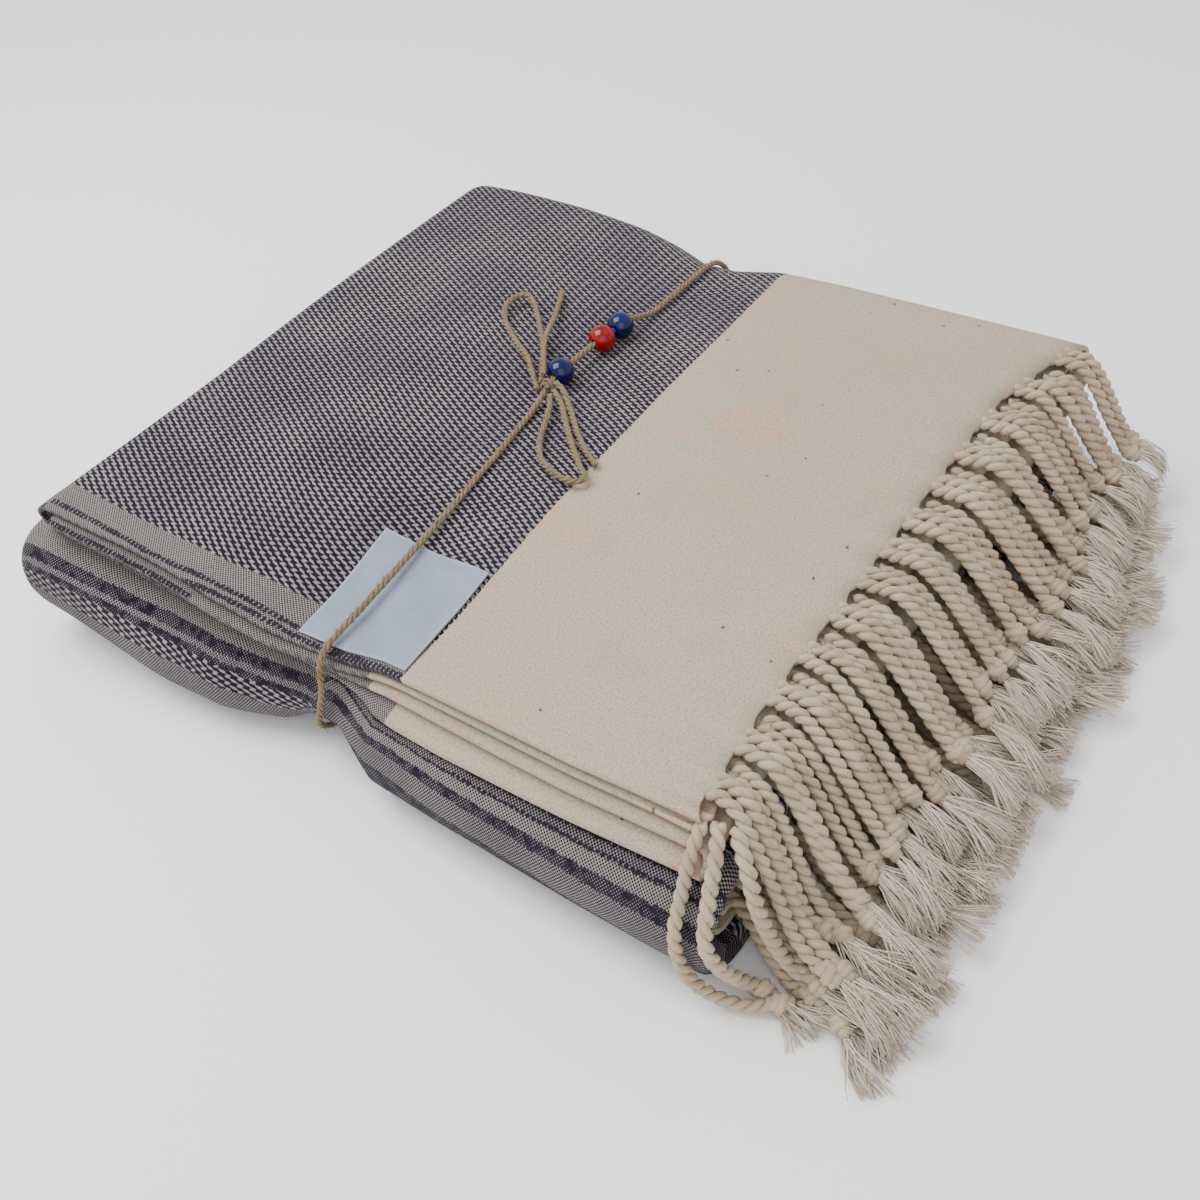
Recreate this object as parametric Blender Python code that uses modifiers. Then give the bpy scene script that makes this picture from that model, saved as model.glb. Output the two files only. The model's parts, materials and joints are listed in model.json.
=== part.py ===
"""Folded hammam towel with a knotted cord fringe, tied round the middle with twine.

The cloth is folded twice. Along its length it goes into a packet of four layers, with
both fringed ends at the right. The packet is then folded across its width in three, so
that its rounded folds lie along the far side (upper) and the near side (lower).
Metres, +X to the fringe, +Y to the far side, +Z up, standing on the plane z = 0.
"""
import bpy
import bmesh
from math import asin, cos, sin, pi, exp, sqrt, radians
from mathutils import Vector

# Cloth and its layers
CLOTH = 0.0026             # thickness of the woven cloth
LOWER_PITCH = 0.0076       # spacing of the layers in the lower two thirds
UPPER_PITCH = 0.0054       # spacing of the layers in the top third
FLAP_GAP = 0.0065          # step from the middle third up to the top third
MID_INDEX = 1.5            # the outer layers lie this many pitches off the packet's middle

# Plan of the bundle
NEAR_Y = -0.158            # centre line of the near fold
FAR_Y = 0.160              # centre line of the far fold
TUCK_Y = 0.156             # free edge of the bottom third
LEFT_X = -0.179            # centre of the outer left turn
INNER_LEFT_X = -0.175      # centre of the inner left turn
MIDFOLD_X = 0.178          # centre of the right turn, where the cloth's middle lies
TOP_END_X = 0.1765         # woven end of layer 1
UNDER_END_X = 0.1772       # woven end of layer 2
LOWER_END_STEP = 0.010     # the lower thirds reach this much further right
CORNER_STEP = (0.013, 0.004)   # the flap's far and near right corners reach further too

# Where the near fold, the flap over it and the far fold lie, drawn in by the tie
DRAPE = (
    # x, near fold, flap, far fold
    (-0.200, -0.1520, -0.1520, 0.1680),
    (-0.158, -0.1535, -0.1550, 0.1715),
    (-0.112, -0.1563, -0.1598, 0.1715),
    (-0.072, -0.1552, -0.1618, 0.1690),
    (-0.045, -0.1470, -0.1600, 0.1645),
    (-0.026, -0.1425, -0.1562, 0.1585),
    (-0.007, -0.1445, -0.1545, 0.1600),
    (0.020, -0.1575, -0.1540, 0.1675),
    (0.060, -0.1612, -0.1580, 0.1670),
    (0.120, -0.1640, -0.1635, 0.1648),
    (0.200, -0.1655, -0.1655, 0.1635),
)

# Heights of the packet's middle in the bottom, middle and top third
BOTTOM_Z = CLOTH / 2 + MID_INDEX * LOWER_PITCH
MIDDLE_Z = BOTTOM_Z + 4 * LOWER_PITCH
TOP_Z = MIDDLE_Z + MID_INDEX * LOWER_PITCH + FLAP_GAP + MID_INDEX * UPPER_PITCH
NEAR_Z = (BOTTOM_Z + MIDDLE_Z) / 2
FAR_Z = (MIDDLE_Z + TOP_Z) / 2
LOWER_TOP = MIDDLE_Z + MID_INDEX * LOWER_PITCH + CLOTH / 2
FLAP_BOTTOM = LOWER_TOP + FLAP_GAP - CLOTH
HEIGHT = TOP_Z + MID_INDEX * UPPER_PITCH + CLOTH / 2

# Selvedges of the flap, as degrees round the near shoulder: left of the tie, right of it
EDGE_DEGREES = {
    1: (9.0, 9.0),
    2: (15.5, 10.5),
    3: (13.0, 17.0),
    4: (12.0, 30.0),
}
EDGE_CHANGE = (-0.045, 0.035)

# Twine tie and what it does to the bundle
TIE_X = -0.0135
TIE_SKEW = -0.022          # the tie runs this much across for each metre of width
TIE_BEND = 0.0093          # its beads and knot lie this much off its line
TIE_BEND_Y = (0.030, 0.065)    # middle and reach of that bend
TIE_SLANT = 0.010          # its lower run lies this much further left
TWINE = 0.0028             # diameter of the twine
GAP = 0.00035              # clearance between pieces that meet
WAIST_X = -0.0165
WAIST_FLAT = 0.0095        # the waist is this wide to each side before it eases off
PINCH_REACH = 0.044        # and eases off over about this much
SQUEEZE = 0.060            # share of the height lost at the tie
SQUEEZE_NEAR = 0.140       # and further shares at the near and the far side
SQUEEZE_FAR = 0.030
GROOVE = 0.0042            # hollow that the tie presses into the underside
GROOVE_FLAT = 0.0125       # half widths of its floor and of its mouth
GROOVE_WIDE = 0.030
NEAR_HOLLOW = 0.0072       # deeper hollow under the near fold
NEAR_HOLLOW_WIDE = 0.034
SWELL_LEFT = 0.035         # the bundle stands fuller left and right of the tie
SWELL_RIGHT = 0.012
LEFT_RISE = 0.008          # the near fold stands taller at its left end
LEFT_LEAN = 0.22           # leans out there by this share of its height
LEFT_BULGE = 0.011         # and reaches this much further left
UNEVEN = (0.012, 0.0015, 0.0025)   # small waves of the height, the width and the length

# Stations along the length and across the width
LENGTH_STATIONS = (-0.140, -0.100, -0.064, -0.043, -0.026, -0.007, 0.013, 0.035, 0.085, 0.138)
OUTER_TURN_STEPS = 6
INNER_TURN_STEPS = 4
SHOULDER_STEPS = 2
TOP_SHARES = (0.0, 0.175, 0.34, 0.51, 0.68, 0.84)
FAR_STEPS = 6
MIDDLE_STEPS = 4
NEAR_STEPS = 8
BOTTOM_STEPS = 4

# Fringe
STRANDS = 16               # strands in each third of each end
CORD = 0.0058
STRIP = 0.0030             # width of the woven strip that the cords hang from
FAN = 0.024                # how far the outermost tips spread past the bundle
FAN_REACH = 0.090
SWAY = 0.0012
FAR_REACH = 0.62           # the strands at the far corner reach this share of the others

# Label
LABEL = 0.0010
LABEL_GAP = 0.0012
LABEL_TOP_X = (-0.0335, -0.026, -0.007, 0.013, 0.0295)     # stations along its upper edge
LABEL_LOW_X = (-0.0290, -0.026, -0.007, 0.013, 0.0325)     # and along its lower edge
LABEL_UPPER = (0.204, 0.186)   # how far up the flap it starts, at its left and right side
LABEL_LOWER = (0.36, 0.50)     # how far round the shoulder it ends there

# Beads, the knot and the bow
BEAD_RADIUS = 0.0070
BEAD_Y = (0.0326, 0.0672, 0.0820)
BEAD_HALF = 0.0068         # the twine runs straight over this much to each side
KNOT_RADIUS = 0.0034
KNOT_Y = 0.0213
KNOT_HALF = 0.0038
# Routes over the cloth as (x, y, height above it), from the knot outward
LOOP_LEFT = (
    (-0.0276, 0.0188, 0.0022), (-0.0370, 0.0275, 0.0024), (-0.0480, 0.0375, 0.0020),
    (-0.0600, 0.0450, 0.0010), (-0.0740, 0.0545, 0.0008), (-0.0835, 0.0650, 0.0015),
    (-0.0840, 0.0740, 0.0025), (-0.0780, 0.0780, 0.0030), (-0.0690, 0.0720, 0.0025),
    (-0.0570, 0.0610, 0.0015), (-0.0460, 0.0490, 0.0015), (-0.0385, 0.0385, 0.0022),
    (-0.0274, 0.0222, 0.0048),
)
END_LEFT = (
    (-0.0268, 0.0236, 0.0086), (-0.0345, 0.0345, 0.0086), (-0.0410, 0.0440, 0.0080),
    (-0.0470, 0.0540, 0.0062), (-0.0525, 0.0650, 0.0036), (-0.0580, 0.0750, 0.0012),
    (-0.0635, 0.0850, 0.0002), (-0.0680, 0.0930, 0.0002),
)
LOOP_RIGHT = (
    (-0.0190, 0.0176, 0.0024), (-0.0145, 0.0110, 0.0018), (-0.0105, 0.0030, 0.0010),
    (-0.0060, -0.0080, 0.0005), (0.0000, -0.0180, 0.0008), (0.0080, -0.0265, 0.0010),
    (0.0190, -0.0325, 0.0015), (0.0300, -0.0350, 0.0015), (0.0350, -0.0305, 0.0015),
    (0.0275, -0.0235, 0.0015), (0.0170, -0.0135, 0.0015), (0.0070, -0.0035, 0.0018),
    (-0.0020, 0.0060, 0.0022), (-0.0095, 0.0140, 0.0026), (-0.0186, 0.0206, 0.0036),
)
END_RIGHT = (
    (-0.0184, 0.0222, 0.0072), (-0.0120, 0.0202, 0.0052), (-0.0035, 0.0130, 0.0020),
    (0.0055, 0.0040, 0.0008), (0.0150, -0.0050, 0.0003), (0.0240, -0.0125, 0.0002),
    (0.0330, -0.0185, 0.0002),
)

# The whole stands centred on its own plan
CENTRE = (-0.0350, 0.0026, 0.0)


def smooth(value):
    value = min(max(value, 0.0), 1.0)
    return value * value * (3 - 2 * value)


def mix(first, second, share):
    return first + (second - first) * share


def material(name, color, roughness, metallic=0.0):
    mat = bpy.data.materials.new(name)
    mat.use_nodes = True
    shader = mat.node_tree.nodes["Principled BSDF"]
    shader.inputs["Base Color"].default_value = (*color, 1.0)
    shader.inputs["Roughness"].default_value = roughness
    shader.inputs["Metallic"].default_value = metallic
    mat.diffuse_color = (*color, 1.0)
    return mat


def add_object(name, mesh, mat):
    obj = bpy.data.objects.new(name, mesh)
    parts.objects.link(obj)
    obj.parent = frame
    mesh.materials.append(mat)
    return obj


# ---- where a point of the cloth lies ----

def pitch_share(place):
    """0 in the lower two thirds, 1 in the top third, between them in the far fold."""
    kind, value = place
    if kind in ("shoulder", "top"):
        return 1.0
    if kind == "far":
        return 1.0 - smooth(value)
    return 0.0


def section_point(index, edge_degrees, place, lift=0.0):
    """Across the bundle: (y, z) of a layer, by its index in pitches off the middle."""
    kind, value = place
    pitch = mix(LOWER_PITCH, UPPER_PITCH, pitch_share(place))
    off = index * pitch + lift
    if kind == "shoulder":
        angle = radians(edge_degrees) * value
        radius = TOP_Z - NEAR_Z + off
        return NEAR_Y - radius * sin(angle), NEAR_Z + radius * cos(angle)
    if kind == "top":
        return mix(NEAR_Y, FAR_Y, value), TOP_Z + off
    if kind == "far":
        radius = (TOP_Z - MIDDLE_Z) / 2 + off
        return FAR_Y + radius * sin(pi * value), FAR_Z + radius * cos(pi * value)
    if kind == "middle":
        return mix(FAR_Y, NEAR_Y, value), MIDDLE_Z - off
    if kind == "near":
        radius = (MIDDLE_Z - BOTTOM_Z) / 2 - off
        return NEAR_Y - radius * sin(pi * value), NEAR_Z + radius * cos(pi * value)
    return mix(NEAR_Y, TUCK_Y + 0.002 * index, value), BOTTOM_Z + off


def tie_x(y):
    """Where the tie crosses the bundle at each place across the width."""
    middle, reach = TIE_BEND_Y
    return TIE_X + TIE_SKEW * y - TIE_BEND * exp(-((y - middle) / reach) ** 2)


def pinch(x):
    """1 along the tie, falling away on both sides of it."""
    beyond = max(abs(x - WAIST_X) - WAIST_FLAT, 0.0) / PINCH_REACH
    return exp(sqrt(0.02) - sqrt(beyond ** 2 + 0.02))


def drape(x):
    """Shifts of the near fold, of the flap over it and of the far fold, along the length."""
    x = min(max(x, DRAPE[0][0]), DRAPE[-1][0])
    for before, after in zip(DRAPE, DRAPE[1:]):
        if x <= after[0]:
            share = (x - before[0]) / (after[0] - before[0])
            near, flap, far = (mix(a, b, share) for a, b in zip(before[1:], after[1:]))
            return near - NEAR_Y, flap - NEAR_Y, far - FAR_Y
    return 0.0, 0.0, 0.0


def raised(z, rise):
    """Lifts the lower two thirds by the rise, and closes the flap up over them."""
    if z < LOWER_TOP:
        return z + rise * (z - CLOTH / 2) / (LOWER_TOP - CLOTH / 2)
    if z < FLAP_BOTTOM:
        share = (z - LOWER_TOP) / (FLAP_BOTTOM - LOWER_TOP)
        return mix(LOWER_TOP + rise, FLAP_BOTTOM + 0.85 * rise, share)
    share = (z - FLAP_BOTTOM) / (HEIGHT - FLAP_BOTTOM)
    return mix(FLAP_BOTTOM + 0.85 * rise, HEIGHT + 0.2 * rise, share)


def settle(x, y, z):
    """Draws the plain folded bundle in at the tie and lets it lie unevenly."""
    hold = pinch(x)
    near = smooth((-y - 0.04) / 0.11)
    far = smooth((y - 0.04) / 0.11)
    high = (z - CLOTH / 2) / (HEIGHT - CLOTH)
    low = smooth((0.060 - z) / 0.008)
    corner = smooth((-x - 0.10) / 0.07) * smooth((-y - 0.02) / 0.10)
    lifted = raised(z, LEFT_RISE * corner)
    swell = SWELL_LEFT if x < WAIST_X else SWELL_RIGHT
    swell *= (1 - hold) * (0.6 + 0.4 * cos(3.2 * y / 0.18)) * (1 - 0.7 * corner)
    factor = 1 + swell - hold * (SQUEEZE + SQUEEZE_NEAR * near + SQUEEZE_FAR * far)
    factor += UNEVEN[0] * high * sin(x / 0.052 + 0.6) * sin(y / 0.071 + 1.1)
    beside = abs(x - WAIST_X)
    hollow = GROOVE * smooth((GROOVE_WIDE - beside) / (GROOVE_WIDE - GROOVE_FLAT))
    hollow += NEAR_HOLLOW * near * smooth((NEAR_HOLLOW_WIDE - beside) / (NEAR_HOLLOW_WIDE - WAIST_FLAT))
    settled_z = CLOTH / 2 + (lifted - CLOTH / 2) * factor + hollow * max(1 - high, 0.0)
    near_shift, flap_shift, far_shift = drape(x)
    on_flap = smooth((z - LOWER_TOP) / (FLAP_BOTTOM - LOWER_TOP))
    settled_y = y + mix(near_shift, flap_shift, on_flap) * near + far_shift * far
    settled_y -= LEFT_LEAN * (min(lifted, LOWER_TOP) - 0.030) * corner
    settled_y += UNEVEN[1] * sin(x / 0.045 + 4.0 * high)
    right = smooth((x - 0.05) / 0.10)
    settled_x = x + LOWER_END_STEP * low * right
    far_step, near_step = CORNER_STEP
    settled_x += (1 - low) * right * far_step * smooth((y - 0.10) / 0.07)
    settled_x += (1 - low) * right * near_step * smooth((-y - 0.10) / 0.06)
    settled_x -= LEFT_BULGE * corner * low
    settled_x -= UNEVEN[2] * (1 - low) * smooth((-x - 0.08) / 0.08) * sin(y / 0.075)
    return Vector((settled_x, settled_y, settled_z))


def edge_degrees_at(layer, x):
    left, right = EDGE_DEGREES[layer]
    share = smooth((x - EDGE_CHANGE[0]) / (EDGE_CHANGE[1] - EDGE_CHANGE[0]))
    return mix(left, right, share)


def along_layer(layer, first_x, last_x):
    """Stations of one straight layer: (x of a pitch, turn radius share, index, edge)."""
    index = MID_INDEX - (layer - 1)
    inner = list(LENGTH_STATIONS)
    if first_x > last_x:
        inner.reverse()
    stations = [first_x] + inner + [last_x]
    return [(x, 0.0, index, edge_degrees_at(layer, x)) for x in stations]


def along_turn(centre_x, side, from_layer, to_layer, steps):
    """Stations round a turn that joins two layers; its reach is set by their spacing."""
    first = MID_INDEX - (from_layer - 1)
    last = MID_INDEX - (to_layer - 1)
    from_edge = edge_degrees_at(from_layer, centre_x)
    to_edge = edge_degrees_at(to_layer, centre_x)
    stations = []
    for step in range(1, steps):
        angle = pi * step / steps
        index = (first + last) / 2 + (first - last) / 2 * cos(angle)
        reach = side * abs(first - last) / 2 * sin(angle)
        stations.append((centre_x, reach, index, mix(from_edge, to_edge, step / steps)))
    return stations


def length_stations():
    """The cloth from one fringed end to the other."""
    stations = along_layer(1, TOP_END_X, LEFT_X)
    stations += along_turn(LEFT_X, -1, 1, 4, OUTER_TURN_STEPS)
    stations += along_layer(4, LEFT_X, MIDFOLD_X)
    stations += along_turn(MIDFOLD_X, 1, 4, 3, INNER_TURN_STEPS)
    stations += along_layer(3, MIDFOLD_X, INNER_LEFT_X)
    stations += along_turn(INNER_LEFT_X, -1, 3, 2, INNER_TURN_STEPS)
    stations += along_layer(2, INNER_LEFT_X, UNDER_END_X)
    return stations


def width_stations():
    """The cloth from its near selvedge, on top, to the one tucked under the far side."""
    places = [("shoulder", 1 - step / SHOULDER_STEPS) for step in range(SHOULDER_STEPS)]
    places += [("top", share) for share in TOP_SHARES]
    runs = (("far", FAR_STEPS), ("middle", MIDDLE_STEPS), ("near", NEAR_STEPS), ("bottom", BOTTOM_STEPS))
    for kind, steps in runs:
        places += [(kind, step / steps) for step in range(steps)]
    places.append(("bottom", 1.0))
    return places


def cloth_point(station, place, lift=0.0):
    x, reach, index, edge = station
    pitch = mix(LOWER_PITCH, UPPER_PITCH, pitch_share(place))
    y, z = section_point(index, edge, place, lift)
    return settle(x + reach * pitch, y, z)


# ---- the cloth ----

def shaped_grid(name, columns, rows, place):
    """A grid whose vertex (i, j) lies at place(i, j)."""
    bm = bmesh.new()
    bmesh.ops.create_grid(bm, x_segments=columns, y_segments=rows, size=1.0)
    for vert in bm.verts:
        i = round((vert.co.x + 1) / 2 * columns)
        j = round((vert.co.y + 1) / 2 * rows)
        vert.co = place(i, j)
    mesh = bpy.data.meshes.new(name)
    bm.to_mesh(mesh)
    bm.free()
    return mesh


def thicken(obj, thickness):
    solid = obj.modifiers.new("Thickness", "SOLIDIFY")
    solid.thickness = thickness
    solid.offset = 0.0


def make_cloth():
    stations = length_stations()
    places = width_stations()

    def place(i, j):
        return cloth_point(stations[i], places[j])

    mesh = shaped_grid("towel_cloth", len(stations) - 1, len(places) - 1, place)
    mesh.shade_smooth()
    thicken(add_object("towel_cloth", mesh, woven), CLOTH)


def label_places(share):
    """Down the label from its upper edge, at a share of its width from the left."""
    upper = ("top", mix(*LABEL_UPPER, share))
    lower = ("shoulder", mix(*LABEL_LOWER, share))
    return upper, ("top", TOP_SHARES[1]), ("top", 0.0), lower


def make_label():
    lift = CLOTH / 2 + LABEL_GAP + LABEL / 2

    def place(i, j):
        x = mix(LABEL_TOP_X[i], LABEL_LOW_X[i], j / 3)
        share = (LABEL_TOP_X[i] - LABEL_TOP_X[0]) / (LABEL_TOP_X[-1] - LABEL_TOP_X[0])
        return cloth_point((x, 0.0, MID_INDEX, edge_degrees_at(1, x)), label_places(share)[j], lift)

    mesh = shaped_grid("sewn_label", len(LABEL_TOP_X) - 1, 3, place)
    thicken(add_object("sewn_label", mesh, label_satin), LABEL)


# ---- the fringe ----

# For each third of an end: the level that its strands come down to, the run over which
# they fall, the cord's stations, the knot, the neck and the tip as distances from the
# root, and how far the strand spreads towards the near side.
FRINGE_ROWS = {
    (1, "shoulder"): (0.0, 0.038, (0.009, 0.016, 0.024, 0.032, 0.044), 0.052, 0.058, 0.080, 0.006),
    (1, "top"): (0.0300, 0.060, (0.010, 0.022, 0.034, 0.045), 0.0510, 0.057, 0.077, 0.0),
    (2, "top"): (0.0265, 0.053, (0.010, 0.020, 0.030, 0.038), 0.0440, 0.050, 0.070, 0.0),
    (2, "middle"): (0.0122, 0.034, (0.011, 0.023, 0.034), 0.0410, 0.047, 0.071, 0.0),
    (1, "middle"): (0.0122, 0.030, (0.010, 0.020, 0.042), 0.0490, 0.055, 0.078, 0.0),
    (1, "bottom"): (0.0, 0.032, (0.010, 0.021, 0.033), 0.0400, 0.046, 0.070, 0.0),
    (2, "bottom"): (0.0, 0.023, (0.008, 0.015, 0.041), 0.0480, 0.054, 0.077, 0.0),
}
NEAR_LEVEL = 0.0215            # the flap's strands come down to this at the near corner
NEAR_RUN = 0.72                # and fall over this share of their run
TOP_LEAD = 0.003               # how far the flap's strands run before they fall
SHOULDER_LEAD = 0.006          # the corner strand clears the near fold before it falls
KNOT = (0.0078, 0.0076)        # width and height
NECK = (0.0048, 0.0046)
TIP = (0.0086, 0.0044)


def fringe_drift(x, y):
    """Tips spread past both sides of the bundle and lean in loose bunches."""
    out = max(x - TOP_END_X, 0.0) / FAN_REACH
    lean = sin(y / 0.047 + 0.9) + 0.5 * sin(y / 0.021)
    return FAN * out * y / 0.17 + SWAY * out * lean


def strand_sections(row, root, step):
    """Centres and sizes of a strand's sections, outward from its root."""
    level, run, cords, knot, neck, tip, spread = FRINGE_ROWS[row]
    slack = 0.004 * sin(2.3 * step + row[0])
    sizes = [(out, (CORD, CORD)) for out in cords]
    sizes += [(knot + slack, KNOT), (neck + slack, NECK), (tip + slack, TIP)]
    sizes[len(cords) - 1] = (cords[-1] + slack, (CORD, CORD))
    reach = mix(1.0, FAR_REACH, smooth((root.y - 0.06) / 0.11))
    late = {"shoulder": SHOULDER_LEAD, "top": TOP_LEAD}.get(row[1], 0.0)
    if row[1] == "top":
        nearness = smooth((-root.y - 0.10) / 0.055)
        level = mix(level, NEAR_LEVEL, nearness)
        run = mix(run, run * NEAR_RUN, nearness)
    centres = []
    for out, size in sizes:
        rest = level if level else size[1] / 2
        fall = smooth((out - late) / (run - late))
        x = root.x + out * reach
        y = root.y + fringe_drift(x, root.y) - fringe_drift(root.x, root.y)
        y -= spread * smooth(1.6 * out / run)
        centres.append((Vector((x, y, mix(root.z, rest, fall))), size))
    return centres


def grow_strand(bm, face, row, step):
    """Lofts one strand out of a face of the strip."""
    root = face.calc_center_median()
    ring = list(face.verts)
    signs = [(1 if vert.co.y > root.y else -1, 1 if vert.co.z > root.z else -1) for vert in ring]
    sections = strand_sections(row, root, step)
    centres = [root] + [centre for centre, size in sections]
    for i, (centre, size) in enumerate(sections):
        ahead = centres[min(i + 2, len(centres) - 1)] - centres[i]
        side = Vector((-ahead.y, ahead.x, 0.0)).normalized()
        over = ahead.cross(side).normalized()
        grown = [bm.verts.new(centre + side * a * size[0] / 2 + over * b * size[1] / 2)
                 for a, b in signs]
        for k in range(4):
            n = (k + 1) % 4
            bm.faces.new((ring[k], ring[n], grown[n], grown[k]))
        ring = grown
    bm.faces.new(ring)
    bm.faces.remove(face)


def strip_places(end):
    """Stations across the width as (place, row and step of the strand that starts there)."""
    places = []
    if end == 1:
        places = [(("shoulder", 0.92), ("shoulder", 0)), (("shoulder", 0.14), None)]
    shift = 0.25 if end == 2 else -0.25
    for kind, width in (("top", FAR_Y - NEAR_Y), ("middle", FAR_Y - NEAR_Y), ("bottom", TUCK_Y - NEAR_Y)):
        half = CORD / 2 / width
        for step in range(STRANDS):
            middle = (step + 0.5 + shift) / STRANDS
            places.append(((kind, middle - half), (kind, step)))
            places.append(((kind, middle + half), None))
        if kind == "top":
            places += [(("far", k / FAR_STEPS), None) for k in range(FAR_STEPS)]
        if kind == "middle":
            places += [(("near", k / NEAR_STEPS), None) for k in range(NEAR_STEPS)]
    return places


def edge_point(station, place, lift):
    """A point on the straight facets between the cloth's own stations across its width."""
    stops = width_stations()
    order = ("shoulder", "top", "far", "middle", "near", "bottom")

    def progress(stop):
        kind, value = stop
        return order.index(kind) + (1 - value if kind == "shoulder" else value)

    target = progress(place)
    for before, after in zip(stops, stops[1:]):
        if progress(before) <= target <= progress(after):
            share = (target - progress(before)) / (progress(after) - progress(before))
            first = cloth_point(station, before, lift)
            return first.lerp(cloth_point(station, after, lift), share)
    return cloth_point(station, place, lift)


def make_fringe(name, end, end_x, mat):
    places = strip_places(end)
    station = (0.0, MID_INDEX - (end - 1), edge_degrees_at(end, end_x))
    bm = bmesh.new()
    rings = []
    for place, strand in places:
        ring = []
        for out, over in ((GAP, -1), (GAP + STRIP, -1), (GAP + STRIP, 1), (GAP, 1)):
            corner = edge_point((end_x + out, *station), place, over * CLOTH / 2)
            ring.append(bm.verts.new(corner))
        rings.append(ring)
    roots = []
    for j in range(len(rings) - 1):
        strand = places[j][1]
        for k in range(4):
            n = (k + 1) % 4
            face = bm.faces.new((rings[j][k], rings[j][n], rings[j + 1][n], rings[j + 1][k]))
            if k == 1 and strand:
                roots.append((face, (end, strand[0]), strand[1]))
    bm.faces.new(rings[0])
    bm.faces.new(rings[-1])
    for face, row, step in roots:
        grow_strand(bm, face, row, step)
    bmesh.ops.recalc_face_normals(bm, faces=bm.faces)
    mesh = bpy.data.meshes.new(name)
    bm.to_mesh(mesh)
    bm.free()
    add_object(name, mesh, mat)


# ---- the tie ----

def section_outline():
    """Points on the bundle's outside, where the tie goes round it."""
    skin = CLOTH / 2
    label_top = skin + LABEL_GAP + LABEL
    points = []
    for place in width_stations():
        for layer in (1, 2, 3, 4):
            edge = edge_degrees_at(layer, WAIST_X)
            for lift in (-skin, skin):
                points.append(section_point(MID_INDEX - (layer - 1), edge, place, lift))
    for place in label_places(0.0) + label_places(1.0):
        points.append(section_point(MID_INDEX, edge_degrees_at(1, WAIST_X), place, label_top))
    settled = []
    for y, z in points:
        crossings = (tie_x(y) - TWINE, tie_x(y) + TWINE, WAIST_X - WAIST_FLAT, WAIST_X + WAIST_FLAT)
        settled += [settle(x, y, z) for x in crossings]
    return [(point.y, point.z) for point in settled]


def hull(points):
    """Outline that a taut cord takes round the points, anticlockwise from the lowest y."""
    points = sorted(set(points))
    halves = []
    for run in (points, points[::-1]):
        chain = []
        for point in run:
            while len(chain) > 1:
                (ay, az), (by, bz) = chain[-2], chain[-1]
                turn = (by - ay) * (point[1] - az) - (bz - az) * (point[0] - ay)
                if turn > 1e-9:
                    break
                chain.pop()
            chain.append(point)
        halves += chain[:-1]
    return halves


def tie_outline():
    """Centre line of the twine, held clear of the bundle's taut outline."""
    outline = hull(section_outline())
    clear = TWINE / 2 + GAP + 0.0004
    path = []
    count = len(outline)
    for i in range(count):
        before = Vector(outline[i - 1])
        here = Vector(outline[i])
        after = Vector(outline[(i + 1) % count])
        first = (here - before).normalized()
        second = (after - here).normalized()
        outward = Vector((first.y + second.y, -first.x - second.x)).normalized()
        corner = max(outward.dot(Vector((first.y, -first.x))), 0.7)
        path.append(here + outward * clear / corner)
    return path


def thinned(path, spacing, sag):
    """Leaves out points of a round outline that lie within the sag of a longer chord."""
    kept = [path[0]]
    pending = []
    for point in path[1:] + path[:1]:
        chord = point - kept[-1]
        normal = Vector((-chord.y, chord.x)).normalized()
        off = max([abs((other - kept[-1]).dot(normal)) for other in pending], default=0.0)
        if pending and off > sag:
            kept.append(pending[-1])
            pending = []
        pending.append(point)
    dense = []
    for i, here in enumerate(kept):
        after = kept[(i + 1) % len(kept)]
        steps = max(1, round((after - here).length / spacing))
        dense += [here.lerp(after, step / steps) for step in range(steps)]
    return dense


def height_on(path, y):
    """Height of the upper side of a closed outline at a given y."""
    best = 0.0
    for i, here in enumerate(path):
        after = path[(i + 1) % len(path)]
        low, high = sorted((here, after), key=lambda point: point.x)
        if low.x <= y <= high.x and high.x - low.x > 1e-9:
            best = max(best, mix(low.y, high.y, (y - low.x) / (high.x - low.x)))
    return best


def tie_lift(y):
    """The beads and the knot hold the twine off the cloth."""
    lift = 0.0
    for middle, radius in [(KNOT_Y, KNOT_RADIUS)] + [(bead_y, BEAD_RADIUS) for bead_y in BEAD_Y]:
        beyond = max(abs(y - middle) - radius - 0.0010, 0.0)
        lift = max(lift, (radius - TWINE / 2) * (1 - smooth(beyond / 0.014)))
    return lift


def tie_points():
    """The closed route of the twine: through its beads on top, then round below."""
    outline = tie_outline()
    threaded = []
    for middle, half in [(KNOT_Y, KNOT_HALF)] + [(bead_y, BEAD_HALF) for bead_y in BEAD_Y]:
        threaded += [middle - half, middle + half]
    path = []
    for point in thinned(outline, 0.018, 0.0003):
        on_top = point.y > HEIGHT / 2
        beside = min(abs(point.x - y) for y in threaded) < 0.0065
        inside = threaded[0] < point.x < threaded[-1]
        if not (on_top and (beside or inside)):
            path.append(point)
    after = next(i for i, point in enumerate(path) if point.y > HEIGHT / 2 and point.x < threaded[-1]
                 and path[i - 1].x > threaded[-1])
    inserted = [Vector((y, height_on(outline, y))) for y in reversed(threaded)]
    path = path[:after] + inserted + path[after:]
    route = []
    for point in path:
        lift = tie_lift(point.x) if point.y > HEIGHT / 2 else 0.0
        below = smooth((0.055 - point.y) / 0.050)
        x = mix(tie_x(point.x), TIE_X - TIE_SLANT + TIE_SKEW * point.x, below)
        route.append(Vector((x, point.x, point.y + lift)))
    return route


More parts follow.
